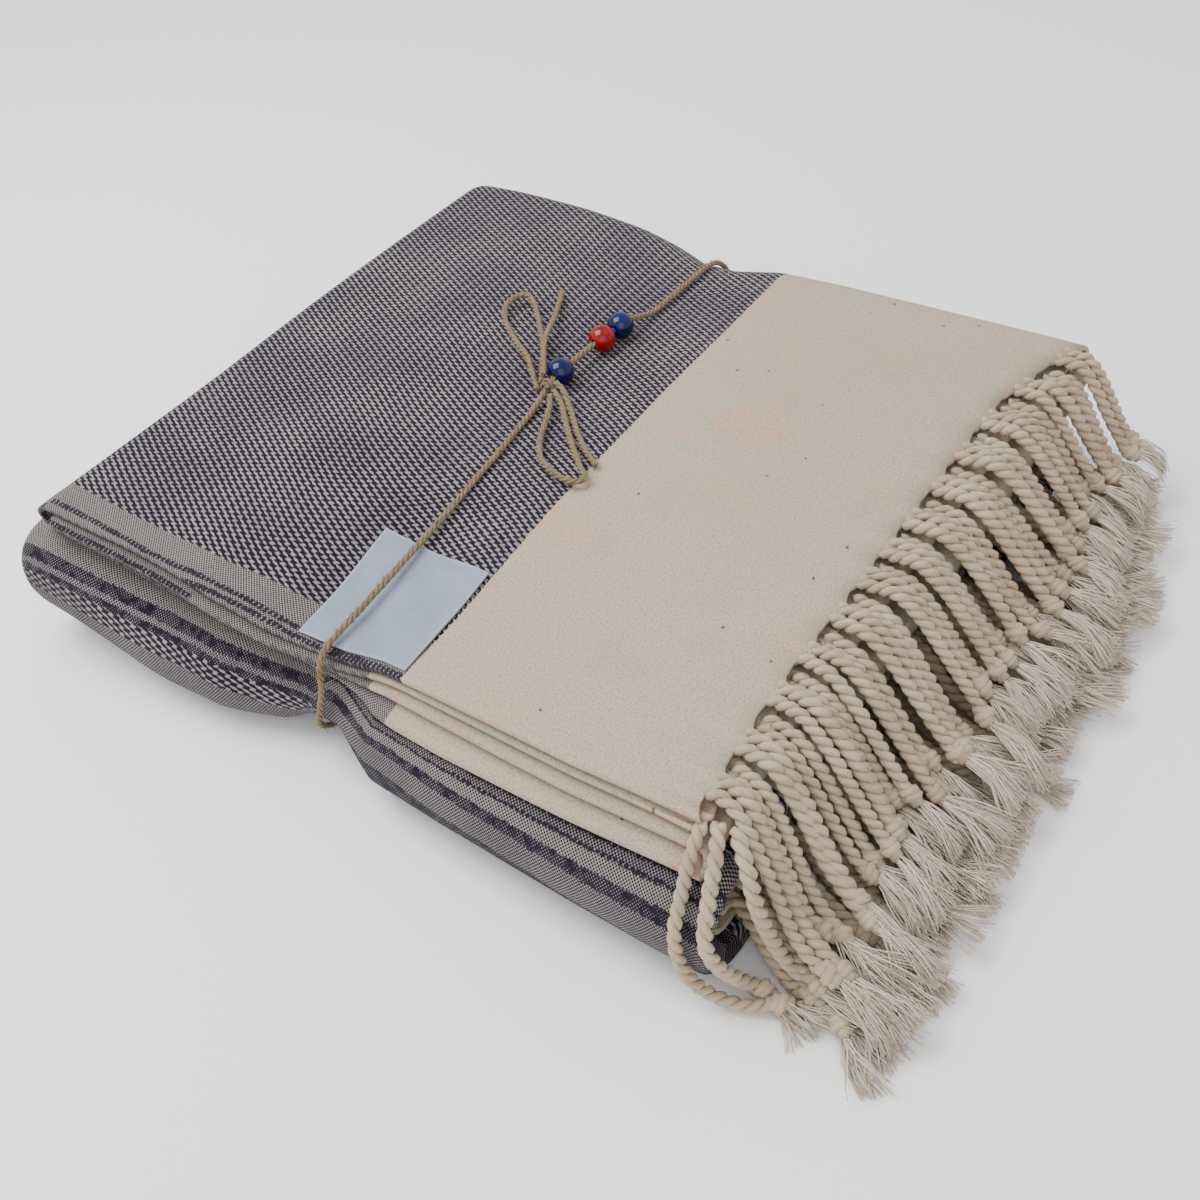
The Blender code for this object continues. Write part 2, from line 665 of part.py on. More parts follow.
def tube(name, points, diameter, mat, closed=False):
    curve = bpy.data.curves.new(name, "CURVE")
    curve.dimensions = "3D"
    curve.bevel_depth = diameter / 2
    curve.bevel_resolution = 2 if closed else 1
    curve.use_fill_caps = not closed
    spline = curve.splines.new("POLY")
    spline.points.add(len(points) - 1)
    for slot, point in zip(spline.points, points):
        slot.co = (*point, 1.0)
    spline.use_cyclic_u = closed
    obj = bpy.data.objects.new(name, curve)
    parts.objects.link(obj)
    obj.parent = frame
    curve.materials.append(mat)
    return obj


def threaded_piece(name, radius, steps, route, y, mat):
    """A round piece with a hole, set on the twine at y."""
    bm = bmesh.new()
    hole = TWINE / 2 + GAP + 0.0003
    lowest = asin(hole / radius)
    profile = []
    for step in range(steps + 1):
        angle = lowest + (pi - 2 * lowest) * step / steps
        profile.append(bm.verts.new((radius * sin(angle), 0.0, radius * cos(angle))))
    edges = [bm.edges.new((profile[k], profile[(k + 1) % len(profile)])) for k in range(len(profile))]
    bmesh.ops.spin(bm, geom=profile + edges, axis=(0, 0, 1), cent=(0, 0, 0), angle=2 * pi,
                   steps=12, use_merge=False)
    bmesh.ops.remove_doubles(bm, verts=bm.verts, dist=1e-6)
    bmesh.ops.recalc_face_normals(bm, faces=bm.faces)
    mesh = bpy.data.meshes.new(name)
    bm.to_mesh(mesh)
    bm.free()
    mesh.shade_smooth()
    piece = add_object(name, mesh, mat)
    near_end = max((p for p in route if p.z > HEIGHT / 2 and p.y < y), key=lambda p: p.y)
    far_end = min((p for p in route if p.z > HEIGHT / 2 and p.y > y), key=lambda p: p.y)
    piece.location = near_end.lerp(far_end, (y - near_end.y) / (far_end.y - near_end.y))
    piece.rotation_mode = "QUATERNION"
    piece.rotation_quaternion = (far_end - near_end).to_track_quat("Z", "Y")


def over_cloth(route):
    """A route's points, each set at its own height above the cloth's top."""
    clear = TWINE / 2 + 0.0012
    points = []
    for x, y, above in route:
        top = settle(x, y, HEIGHT).z
        points.append(Vector((x, y, top + clear + above)))
    return points


def make_tie():
    route = tie_points()
    tube("tie_wrap", route, TWINE, jute, closed=True)
    threaded_piece("tie_knot", KNOT_RADIUS, 5, route, KNOT_Y, jute)
    for number, bead_y in enumerate(BEAD_Y):
        bead = bead_red if number == 1 else bead_blue
        threaded_piece(f"tie_bead_{number + 1}", BEAD_RADIUS, 6, route, bead_y, bead)
    tube("bow_loop_left", over_cloth(LOOP_LEFT), TWINE, jute)
    tube("bow_loop_right", over_cloth(LOOP_RIGHT), TWINE, jute)
    tube("tie_end_left", over_cloth(END_LEFT), TWINE, jute)
    tube("tie_end_right", over_cloth(END_RIGHT), TWINE, jute)


for item in list(bpy.data.objects):
    bpy.data.objects.remove(item, do_unlink=True)
parts = bpy.data.collections.new("hammam_towel")
bpy.context.scene.collection.children.link(parts)
frame = bpy.data.objects.new("bundle_frame", None)
frame.location = CENTRE
parts.objects.link(frame)

woven = material("Navy and cream weave", (0.20, 0.19, 0.23), 0.9)
cotton = material("Cream cotton cord", (0.62, 0.55, 0.44), 0.9)
label_satin = material("Label satin", (0.55, 0.60, 0.66), 0.5)
jute = material("Jute twine", (0.35, 0.26, 0.16), 0.9)
bead_blue = material("Blue bead", (0.01, 0.02, 0.22), 0.15)
bead_red = material("Red bead", (0.45, 0.01, 0.01), 0.15)

make_cloth()
make_label()
make_fringe("fringe_top_end", 1, TOP_END_X, cotton)
make_fringe("fringe_under_end", 2, UNDER_END_X, cotton)
make_tie()
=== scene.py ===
import bpy
import bmesh
import json
import random
from math import cos, exp, pi, radians, sin, sqrt
from mathutils import Matrix, Vector

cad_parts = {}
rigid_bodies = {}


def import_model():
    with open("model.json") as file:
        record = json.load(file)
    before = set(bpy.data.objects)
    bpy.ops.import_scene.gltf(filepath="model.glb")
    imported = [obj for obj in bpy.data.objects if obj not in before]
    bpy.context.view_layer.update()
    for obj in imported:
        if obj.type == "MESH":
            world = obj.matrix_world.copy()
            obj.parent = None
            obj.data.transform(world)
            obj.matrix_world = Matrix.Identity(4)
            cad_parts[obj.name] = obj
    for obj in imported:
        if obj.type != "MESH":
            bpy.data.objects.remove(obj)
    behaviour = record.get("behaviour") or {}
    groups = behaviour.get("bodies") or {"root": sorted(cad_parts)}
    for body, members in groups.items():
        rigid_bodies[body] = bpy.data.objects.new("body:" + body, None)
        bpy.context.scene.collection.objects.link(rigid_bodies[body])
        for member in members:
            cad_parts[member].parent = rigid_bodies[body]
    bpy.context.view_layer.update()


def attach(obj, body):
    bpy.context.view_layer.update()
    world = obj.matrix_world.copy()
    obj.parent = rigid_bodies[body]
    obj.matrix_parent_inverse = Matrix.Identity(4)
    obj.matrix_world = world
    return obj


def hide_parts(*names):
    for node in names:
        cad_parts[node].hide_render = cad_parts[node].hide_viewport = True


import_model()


def selectOnly(obj=None):
    for other in bpy.data.objects:
        other.select_set(other == obj)
    bpy.context.view_layer.objects.active = obj


def addObject(name, data):
    obj = bpy.data.objects.new(name, data)
    bpy.context.scene.collection.objects.link(obj)
    return obj


def addMesh(name, points, faces, maps):
    # maps holds a place for every corner of every face, by the UV map's name
    mesh = bpy.data.meshes.new(name)
    mesh.from_pydata([tuple(point) for point in points], [], faces)
    for title, coords in maps.items():
        layer = mesh.uv_layers.new(name=title)
        for loop, coord in zip(layer.data, coords):
            loop.uv = coord
    return addObject(name, mesh)


def thicken(obj, thickness):
    # gives a sheet its thickness, half to each side
    wall = obj.modifiers.new("Thickness", "SOLIDIFY")
    wall.thickness = thickness
    wall.offset = 0.0
    selectOnly(obj)
    bpy.ops.object.modifier_apply(modifier="Thickness")


def smooth(value):
    value = min(max(value, 0.0), 1.0)
    return value * value * (3 - 2 * value)


def mix(first, second, share):
    return first + (second - first) * share


def ease(value, span):
    # from 0 at the span's start to 1 where its reach ends
    start, reach = span
    return smooth((value - start) / reach)


def rowAt(table, x):
    # a table's values at x; each of its rows starts with its own x
    x = min(max(x, table[0][0]), table[-1][0])
    for before, after in zip(table, table[1:]):
        if x <= after[0]:
            share = (x - before[0]) / (after[0] - before[0])
            return [mix(a, b, share) for a, b in zip(before[1:], after[1:])]


# The camera, at the photo's own angle and distance
camera = {
    "place": (0.3309, -0.4507, 0.5018),
    "aim": (-0.4523, 0.5783, -0.6789),
    "roll": -6.2,                      # degrees
    "lens": 45.0,                      # mm, as is the sensor's width
    "sensor": 36.0,
    "clip": (0.02, 20.0),
}


def makeCamera():
    aim = Vector(camera["aim"]).normalized()
    level = aim.cross(Vector((0, 0, 1))).normalized()
    over = level.cross(aim)
    turn = radians(camera["roll"])
    right = level * cos(turn) + over * sin(turn)
    up = over * cos(turn) - level * sin(turn)
    data = bpy.data.cameras.new("photoCamera")
    data.lens = camera["lens"]
    data.sensor_width = camera["sensor"]
    data.clip_start, data.clip_end = camera["clip"]
    obj = addObject("photoCamera", data)
    rows = Matrix((right, up, -aim)).transposed().to_4x4()
    obj.matrix_world = Matrix.Translation(Vector(camera["place"])) @ rows
    bpy.context.scene.camera = obj


makeCamera()
print("camera is set")


# How the towel is folded, as in the solids. Lengths are in metres; x runs along the folded length,
# towards the fringe, and y across it, towards the far side.
fold = {
    "cloth": 0.0026,                   # thickness
    "lowerPitch": 0.0076,              # from layer to layer in the two lower thirds
    "upperPitch": 0.0054,              # and in the flap
    "flapGap": 0.0065,
    "midIndex": 1.5,                   # the four layers are counted from 1.5 down to -1.5
    "nearY": -0.158,
    "farY": 0.160,
    "tuckY": 0.156,                    # where the lowest third ends
    "tuckStep": 0.002,
    "leftX": -0.179,
    "innerLeftX": -0.175,
    "midfoldX": 0.178,
    "topEndX": 0.1765,
    "underEndX": 0.1772,
    "lowerEndStep": 0.010,             # how much longer the lower thirds are
    "cornerStep": (0.013, 0.004),      # how far the right end stands out at its far and near corners
    "edgeDegrees": {1: (9.0, 9.0), 2: (15.5, 10.5), 3: (13.0, 17.0), 4: (12.0, 30.0)},
    "edgeChange": (-0.045, 0.035),
    "leftRise": 0.008,                 # the near left corner is lifted, leans and bulges
    "leftLean": 0.22,
    "leftBulge": 0.011,
    "centre": (-0.0350, 0.0026, 0.0),
}
# how the cloth settles: most entries are where a change starts and how far it reaches
settling = {
    "sides": (0.04, 0.11),             # from the middle to either long side
    "lowTop": 0.060,                   # the lower thirds end below this height
    "lowFade": 0.008,
    "cornerAlong": (0.10, 0.07),
    "cornerAcross": (0.02, 0.10),
    "rightEnd": (0.05, 0.10),
    "farCorner": (0.10, 0.07),
    "nearCorner": (0.10, 0.06),
    "leftEnd": (0.08, 0.08),
    "leanFrom": 0.030,                 # height above which the corner leans
    "crown": (0.6, 0.4, 0.05625),      # the swell's mean share, its change, and the width over which it goes
    "cornerSwell": 0.7,
    "unevenTop": (0.012, 0.052, 0.071),    # share of the height, and lengths along and across
    "swayAcross": (0.0015, 0.045, 4.0),
    "swayAlong": (0.0025, 0.075),
    "flapRise": (0.85, 0.2),           # share of the corner's lift in the flap's lowest and highest layer
    "pinchRound": 0.02,
}
drapeTable = (
    # x, near fold, flap over it, far fold
    (-0.200, -0.1520, -0.1520, 0.1680),
    (-0.158, -0.1535, -0.1550, 0.1715),
    (-0.112, -0.1563, -0.1598, 0.1715),
    (-0.072, -0.1552, -0.1618, 0.1690),
    (-0.045, -0.1470, -0.1600, 0.1645),
    (-0.026, -0.1425, -0.1562, 0.1585),
    (-0.007, -0.1445, -0.1545, 0.1600),
    (0.020, -0.1575, -0.1540, 0.1675),
    (0.060, -0.1612, -0.1580, 0.1670),
    (0.120, -0.1640, -0.1635, 0.1648),
    (0.200, -0.1655, -0.1655, 0.1635),
)
waist = {
    "x": -0.0165,
    "flat": 0.0095,                    # half the width that the twine draws in fully
    "reach": 0.044,                    # and how far beyond it the cloth is drawn in
    "squeeze": (0.060, 0.140, 0.030),  # all over, near side, far side
    "groove": 0.0042,                  # rise of the underside below the twine
    "grooveFlat": 0.0125,
    "grooveWide": 0.030,
    "nearHollow": (0.0072, 0.034),     # depth and half width under the near fold
    "swell": (0.035, 0.012),           # left and right of it
}
bottomZ = fold["cloth"] / 2 + fold["midIndex"] * fold["lowerPitch"]
middleZ = bottomZ + 4 * fold["lowerPitch"]
topZ = middleZ + fold["midIndex"] * (fold["lowerPitch"] + fold["upperPitch"]) + fold["flapGap"]
nearZ = (bottomZ + middleZ) / 2
farZ = (middleZ + topZ) / 2
lowerTop = middleZ + fold["midIndex"] * fold["lowerPitch"] + fold["cloth"] / 2
flapBottom = lowerTop + fold["flapGap"] - fold["cloth"]
height = topZ + fold["midIndex"] * fold["upperPitch"] + fold["cloth"] / 2


def pitchShare(kind, value):
    if kind in ("shoulder", "top"):
        return 1.0
    if kind == "far":
        return 1.0 - smooth(value)
    return 0.0


def pitchAt(kind, value):
    return mix(fold["lowerPitch"], fold["upperPitch"], pitchShare(kind, value))


def sectionPoint(index, edge, kind, value, lift):
    off = index * pitchAt(kind, value) + lift
    nearY, farY = fold["nearY"], fold["farY"]
    if kind == "shoulder":
        radius = topZ - nearZ + off
        angle = radians(edge) * value
        return nearY - radius * sin(angle), nearZ + radius * cos(angle)
    if kind == "top":
        return mix(nearY, farY, value), topZ + off
    if kind == "far":
        radius = (topZ - middleZ) / 2 + off
        return farY + radius * sin(pi * value), farZ + radius * cos(pi * value)
    if kind == "middle":
        return mix(farY, nearY, value), middleZ - off
    if kind == "near":
        radius = (middleZ - bottomZ) / 2 - off
        return nearY - radius * sin(pi * value), nearZ + radius * cos(pi * value)
    return mix(nearY, fold["tuckY"] + fold["tuckStep"] * index, value), bottomZ + off


def pinch(x):
    # 1 under the twine, falling away to both sides
    beyond = max(abs(x - waist["x"]) - waist["flat"], 0.0) / waist["reach"]
    soft = settling["pinchRound"]
    return exp(sqrt(soft) - sqrt(beyond ** 2 + soft))


def drape(x):
    near, flap, far = rowAt(drapeTable, x)
    return near - fold["nearY"], flap - fold["nearY"], far - fold["farY"]


def raised(z, rise):
    # the corner's lift, least at the bottom and most in the flap's lowest layer
    base = fold["cloth"] / 2
    lowest, highest = settling["flapRise"]
    if z < lowerTop:
        return z + rise * (z - base) / (lowerTop - base)
    if z < flapBottom:
        share = (z - lowerTop) / (flapBottom - lowerTop)
        return mix(lowerTop + rise, flapBottom + lowest * rise, share)
    share = (z - flapBottom) / (height - flapBottom)
    return mix(flapBottom + lowest * rise, height + highest * rise, share)


def settle(x, y, z):
    # where a point of the evenly folded cloth comes to lie
    base = fold["cloth"] / 2
    hold = pinch(x)
    near = ease(-y, settling["sides"])
    far = ease(y, settling["sides"])
    high = (z - base) / (height - fold["cloth"])
    low = smooth((settling["lowTop"] - z) / settling["lowFade"])
    corner = ease(-x, settling["cornerAlong"]) * ease(-y, settling["cornerAcross"])
    lifted = raised(z, fold["leftRise"] * corner)

    swell = waist["swell"][0] if x < waist["x"] else waist["swell"][1]
    share, change, length = settling["crown"]
    swell *= (1 - hold) * (share + change * cos(y / length)) * (1 - settling["cornerSwell"] * corner)
    every, nearSide, farSide = waist["squeeze"]
    factor = 1 + swell - hold * (every + nearSide * near + farSide * far)
    uneven, alongLength, acrossLength = settling["unevenTop"]
    factor += uneven * high * sin(x / alongLength + 0.6) * sin(y / acrossLength + 1.1)
    beside = abs(x - waist["x"])
    depth, wide = waist["nearHollow"]
    groove = waist["grooveWide"]
    hollow = waist["groove"] * smooth((groove - beside) / (groove - waist["grooveFlat"]))
    hollow += depth * near * smooth((wide - beside) / (wide - waist["flat"]))
    settledZ = base + (lifted - base) * factor + hollow * max(1 - high, 0.0)

    nearShift, flapShift, farShift = drape(x)
    onFlap = smooth((z - lowerTop) / (flapBottom - lowerTop))
    settledY = y + mix(nearShift, flapShift, onFlap) * near + farShift * far
    settledY -= fold["leftLean"] * (min(lifted, lowerTop) - settling["leanFrom"]) * corner
    sway, length, turns = settling["swayAcross"]
    settledY += sway * sin(x / length + turns * high)

    right = ease(x, settling["rightEnd"])
    farStep, nearStep = fold["cornerStep"]
    settledX = x + fold["lowerEndStep"] * low * right
    settledX += (1 - low) * right * farStep * ease(y, settling["farCorner"])
    settledX += (1 - low) * right * nearStep * ease(-y, settling["nearCorner"])
    settledX -= fold["leftBulge"] * corner * low
    sway, length = settling["swayAlong"]
    settledX -= sway * (1 - low) * ease(-x, settling["leftEnd"]) * sin(y / length)
    return Vector((settledX, settledY, settledZ)) + Vector(fold["centre"])


def edgeDegreesAt(layer, x):
    left, right = fold["edgeDegrees"][layer]
    start, end = fold["edgeChange"]
    return mix(left, right, smooth((x - start) / (end - start)))


def clothPoint(station, place, lift=0.0):
    x, reach, index, edge = station
    kind, value = place
    y, z = sectionPoint(index, edge, kind, value, lift)
    return settle(x + reach * pitchAt(kind, value), y, z)


def topOfCloth(x, y, above=0.0):
    point = settle(x, y, height)
    point.z += above
    return point


def smoothRoute(points, steps, closed=False):
    # a smooth curve through the points, with this many pieces between each two
    count = len(points)
    spans = count if closed else count - 1
    route = []
    for i in range(spans):
        if closed:
            before, here, after, beyond = (points[(i + k) % count] for k in (-1, 0, 1, 2))
        else:
            before = points[max(i - 1, 0)]
            here, after = points[i], points[i + 1]
            beyond = points[min(i + 2, count - 1)]
        for step in range(steps):
            t = step / steps
            route.append(0.5 * (2 * here + (after - before) * t
                                + (2 * before - 5 * here + 4 * after - beyond) * t * t
                                + (3 * here - before - 3 * after + beyond) * t * t * t))
    if not closed:
        route.append(points[-1].copy())
    return route


def evenRoute(route, spacing, closed=False):
    # the same route with points at even distances
    line = route + [route[0]] if closed else route
    lengths = [0.0]
    for before, after in zip(line, line[1:]):
        lengths.append(lengths[-1] + (after - before).length)
    count = max(2, round(lengths[-1] / spacing))
    even = []
    i = 0
    for step in range(count if closed else count + 1):
        target = lengths[-1] * step / count
        while i < len(line) - 2 and lengths[i + 1] < target:
            i += 1
        span = lengths[i + 1] - lengths[i]
        even.append(line[i].lerp(line[i + 1], (target - lengths[i]) / span if span > 1e-12 else 0.0))
    return even


def routeFrames(route, closed=False):
    # a side and an upward direction at every point, turning as little as they can
    count = len(route)
    aims = []
    for i in range(count):
        if closed:
            aim = route[(i + 1) % count] - route[i - 1]
        else:
            aim = route[min(i + 1, count - 1)] - route[max(i - 1, 0)]
        aims.append(aim.normalized() if aim.length > 1e-12 else (aims[-1] if aims else Vector((1, 0, 0))))
    start = Vector((0, 0, 1)) if abs(aims[0].z) < 0.9 else Vector((0, 1, 0))
    side = aims[0].cross(start).normalized()
    frames = []
    for aim in aims:
        side = (side - aim * side.dot(aim)).normalized()
        frames.append((side, side.cross(aim).normalized()))
    return frames


def routeLength(route):
    return sum((after - before).length for before, after in zip(route, route[1:]))


class Builder:
    # collects the tubes of one piece, with a UV of metres along and round each tube
    def __init__(self):
        self.points = []
        self.faces = []
        self.coords = []
        self.parts = []
        self.part = 0
        self.looseness = []
        self.loose = 0.0      # 0 in a twisted cord, 1 in a loose yarn

    def ring(self, centre, side, over, width, tall, sides, turn=0.0):
        first = len(self.points)
        for k in range(sides):
            angle = turn + 2 * pi * k / sides
            self.points.append(centre + side * cos(angle) * width / 2 + over * sin(angle) * tall / 2)
        return [first + k for k in range(sides)]

    def join(self, before, after, alongBefore, alongAfter, girth):
        sides = len(before)
        for k in range(sides):
            n = (k + 1) % sides
            self.faces.append((before[k], before[n], after[n], after[k]))
            a, b = girth * k / sides, girth * (k + 1) / sides
            self.coords += [(alongBefore, a), (alongBefore, b), (alongAfter, b), (alongAfter, a)]
            self.parts.append(self.part)
            self.looseness.append(self.loose)

    def cap(self, ring, along, flip):
        self.faces.append(tuple(reversed(ring)) if flip else tuple(ring))
        self.coords += [(along, 0.0)] * len(ring)
        self.parts.append(self.part)
        self.looseness.append(self.loose)

    def tube(self, route, width, sides=6, taper=None, closed=False, squash=1.0):
        self.part += 1
        frames = routeFrames(route, closed)
        along = 0.0
        rings = []
        for i, point in enumerate(route):
            scale = taper(i / (len(route) - 1)) if taper else 1.0
            side, over = frames[i]
            rings.append(self.ring(point, side, over, width * scale, width * scale * squash, sides))
        for i in range(len(route) - 1):
            step = (route[i + 1] - route[i]).length
            self.join(rings[i], rings[i + 1], along, along + step, pi * width)
            along += step
        if closed:
            # the last ring meets the first one at the turn that fits it best
            last = rings[-1]
            gaps = [(self.points[last[0]] - self.points[rings[0][k]]).length for k in range(sides)]
            shift = gaps.index(min(gaps))
            self.join(last, rings[0][shift:] + rings[0][:shift], along, along + 0.001, pi * width)
        else:
            self.cap(rings[0], 0.0, True)
            self.cap(rings[-1], along, False)

    def finish(self, name, material):
        obj = addMesh(name, self.points, self.faces, {"UVMap": self.coords})
        mesh = obj.data
        strands = [(part * 0.6180339) % 1.0 for part in self.parts]    # spread evenly from 0 to 1
        for title, numbers in (("strand", strands), ("loose", self.looseness)):
            attribute = mesh.attributes.new(title, "FLOAT", "FACE")
            for value, number in zip(attribute.data, numbers):
                value.value = number
        mesh.materials.append(material)
        mesh.update()
        selectOnly(obj)
        bpy.ops.object.mode_set(mode="EDIT")
        bpy.ops.mesh.select_all(action="SELECT")
        bpy.ops.mesh.normals_make_consistent(inside=False)
        bpy.ops.object.mode_set(mode="OBJECT")
        bpy.ops.object.shade_smooth()
        return obj


plyShare = {2: 0.56, 3: 0.50}      # width of one ply against the cord's, by their number


def twistedPlies(builder, route, diameter, plies, pitch, sides, turn=0.0, taper=None, closed=False):
    # plies wound round the route, right-handed
    frames = routeFrames(route, closed)
    if closed:
        total = routeLength(route + [route[0]])
        pitch = total / max(1, round(total / pitch))
    plyWidth = diameter * plyShare[plies]
    offset = (diameter - plyWidth) / 2
    for ply in range(plies):
        path = []
        along = 0.0
        for i, point in enumerate(route):
            if i:
                along += (point - route[i - 1]).length
            angle = turn + 2 * pi * (along / pitch + ply / plies)
            side, over = frames[i]
            shrink = taper(i / (len(route) - 1)) if taper else 1.0
            path.append(point + (side * cos(angle) + over * sin(angle)) * offset * shrink)
        builder.tube(path, plyWidth, sides, taper, closed)


class Nodes:
    # makes a material's nodes one after another, left to right
    def __init__(self, material):
        self.tree = material.node_tree
        self.x = -2600

    def add(self, kind, **settings):
        node = self.tree.nodes.new(kind)
        self.x += 12
        node.location = (self.x, -((self.x * 37) % 900))
        for name, value in settings.items():
            setattr(node, name, value)
        return node

    def link(self, source, target):
        self.tree.links.new(source, target)

    def feed(self, node, slot, value):
        if isinstance(value, bpy.types.NodeSocket):
            self.link(value, node.inputs[slot])
        else:
            node.inputs[slot].default_value = value

    def math(self, operation, *values):
        node = self.add("ShaderNodeMath", operation=operation)
        for slot, value in enumerate(values):
            self.feed(node, slot, value)
        return node.outputs[0]

    def plus(self, first, second):
        return self.math("ADD", first, second)

    def minus(self, first, second):
        return self.math("SUBTRACT", first, second)

    def times(self, first, second):
        return self.math("MULTIPLY", first, second)

    def larger(self, first, second):
        return self.math("MAXIMUM", first, second)

    def smaller(self, first, second):
        return self.math("MINIMUM", first, second)

    def scaled(self, value, factor, offset):
        return self.math("MULTIPLY_ADD", value, factor, offset)

    def wave(self, value, period, shift=0.0):
        # a cosine of the value with this period
        return self.math("COSINE", self.scaled(value, 2 * pi / period, shift))

    def step(self, value, low, high):
        # 0 below low, 1 above high, smooth between them; also downwards
        node = self.add("ShaderNodeMapRange", interpolation_type="SMOOTHSTEP")
        self.feed(node, "Value", value)
        if low < high:
            self.feed(node, "From Min", low)
            self.feed(node, "From Max", high)
        else:
            self.feed(node, "From Min", high)
            self.feed(node, "From Max", low)
            self.feed(node, "To Min", 1.0)
            self.feed(node, "To Max", 0.0)
        return node.outputs["Result"]

    def band(self, value, low, high, soft):
        # 1 between low and high
        rise = self.step(value, low - soft, low + soft)
        return self.times(rise, self.step(value, high + soft, high - soft))

    def noise(self, vector, scale, detail=2.0, rough=0.5):
        node = self.add("ShaderNodeTexNoise")
        self.feed(node, "Vector", vector)
        self.feed(node, "Scale", scale)
        self.feed(node, "Detail", detail)
        self.feed(node, "Roughness", rough)
        return node.outputs["Fac"]

    def wobble(self, vector, scale, amount, rough=0.5):
        # noise about zero
        return self.scaled(self.noise(vector, scale, 2.0, rough), amount, -amount / 2)

    def blend(self, share, first, second):
        node = self.add("ShaderNodeMix", data_type="RGBA")
        self.feed(node, 0, share)
        self.feed(node, 6, (*first, 1.0) if isinstance(first, tuple) else first)
        self.feed(node, 7, (*second, 1.0) if isinstance(second, tuple) else second)
        return node.outputs[2]

    def number(self, share, first, second):
        node = self.add("ShaderNodeMix", data_type="FLOAT")
        self.feed(node, 0, share)
        self.feed(node, 2, first)
        self.feed(node, 3, second)
        return node.outputs[0]

    def combine(self, x, y, z=0.0):
        node = self.add("ShaderNodeCombineXYZ")
        self.feed(node, 0, x)
        self.feed(node, 1, y)
        self.feed(node, 2, z)
        return node.outputs[0]

    def separate(self, vector):
        # the first two of a vector's three values
        node = self.add("ShaderNodeSeparateXYZ")
        self.feed(node, 0, vector)
        return node.outputs[0], node.outputs[1]

    def uvMap(self, name="UVMap"):
        return self.add("ShaderNodeUVMap", uv_map=name).outputs[0]

    def attribute(self, name):
        return self.add("ShaderNodeAttribute", attribute_name=name).outputs["Fac"]

    def bump(self, heightValue, distance, strength=1.0):
        node = self.add("ShaderNodeBump")
        self.feed(node, "Strength", strength)
        self.feed(node, "Distance", distance)
        self.feed(node, "Height", heightValue)
        return node.outputs["Normal"]


def newMaterial(name, roughness, **sockets):
    material = bpy.data.materials.new(name)
    material.use_nodes = True
    shader = material.node_tree.nodes["Principled BSDF"]
    shader.inputs["Roughness"].default_value = roughness
    for socket, value in sockets.items():
        shader.inputs[socket.replace("_", " ")].default_value = value
    return material, Nodes(material), shader


def linear(red, green, blue):
    # a colour given as 0 to 255, turned to linear light
    def part(value):
        value /= 255.0
        return value / 12.92 if value <= 0.04045 else ((value + 0.055) / 1.055) ** 2.4
    return part(red), part(green), part(blue)


# The towel: how finely its cloth is cut up, and the form of its edges
towel = {
    "pieces": {"layer1": 84, "outerTurn": 12, "layer4": 54, "rightTurn": 8, "layer3": 34,
               "leftTurn": 6, "layer2": 40},
    "across": {"shoulder": 8, "top": 100, "far": 16, "middle": 20, "near": 26, "bottom": 16},
    "edgeStops": (0.0, 0.0010, 0.0025, 0.0045, 0.0070, 0.0100, 0.0135, 0.0175),
    "cusps": (-0.1718, -0.1526, -0.1285, -0.1010, -0.0760, -0.0500, -0.0247, -0.0030, 0.0187,
              0.0456, 0.0715, 0.1000, 0.1310, 0.1630),   # where the edge is pulled out by its cords
    "scallop": 0.0056,                 # how far the edge draws back halfway between them
    "scallopDip": 0.0012,
    "scallopReach": 0.009,             # how far into the cloth that goes
    "roundness": 0.8,
    "gather": (0.0011, 0.0082, 0.016),         # the flap's ripples: height, width, how far in they go
    "underGather": (0.0019, 0.0072, 0.010),    # and those of the layer below
    "underShift": 0.012,
    "uneven": 0.00035,
    "creamEnd": (0.1462, 0.1550),      # length of the cream end at the near and the far side
    "creamOver": 0.32,                 # width over which it grows from the one to the other
    "underCream": 0.022,               # how much longer the cream of the under end is
}


def layerStops(first, last, count, stops=()):
    # places along a layer; the stops are distances from its fringed end, on the right
    if not stops:
        return [mix(first, last, step / count) for step in range(count + 1)]
    toLeft = first > last
    end, other = (first, last) if toLeft else (last, first)
    places = [end - stop for stop in stops]
    places += [mix(places[-1], other, step / count) for step in range(1, count + 1)]
    return places if toLeft else places[::-1]


def towelStations():
    pieces = towel["pieces"]
    stations = []

    def straight(layer, xs):
        index = fold["midIndex"] - (layer - 1)
        for x in xs:
            stations.append(((x, 0.0, index, edgeDegreesAt(layer, x)), layer, x))

    def turn(centreX, side, fromLayer, toLayer, steps):
        first = fold["midIndex"] - (fromLayer - 1)
        last = fold["midIndex"] - (toLayer - 1)
        fromEdge = edgeDegreesAt(fromLayer, centreX)
        toEdge = edgeDegreesAt(toLayer, centreX)
        for step in range(1, steps):
            angle = pi * step / steps
            index = (first + last) / 2 + (first - last) / 2 * cos(angle)
            reach = side * abs(first - last) / 2 * sin(angle)
            stations.append(((centreX, reach, index, mix(fromEdge, toEdge, step / steps)), 0, centreX))

    stops = towel["edgeStops"]
    straight(1, layerStops(fold["topEndX"], fold["leftX"], pieces["layer1"], stops))
    turn(fold["leftX"], -1, 1, 4, pieces["outerTurn"])
    straight(4, layerStops(fold["leftX"], fold["midfoldX"], pieces["layer4"]))
    turn(fold["midfoldX"], 1, 4, 3, pieces["rightTurn"])
    straight(3, layerStops(fold["midfoldX"], fold["innerLeftX"], pieces["layer3"]))
    turn(fold["innerLeftX"], -1, 3, 2, pieces["leftTurn"])
    straight(2, layerStops(fold["innerLeftX"], fold["underEndX"], pieces["layer2"], stops))
    return stations


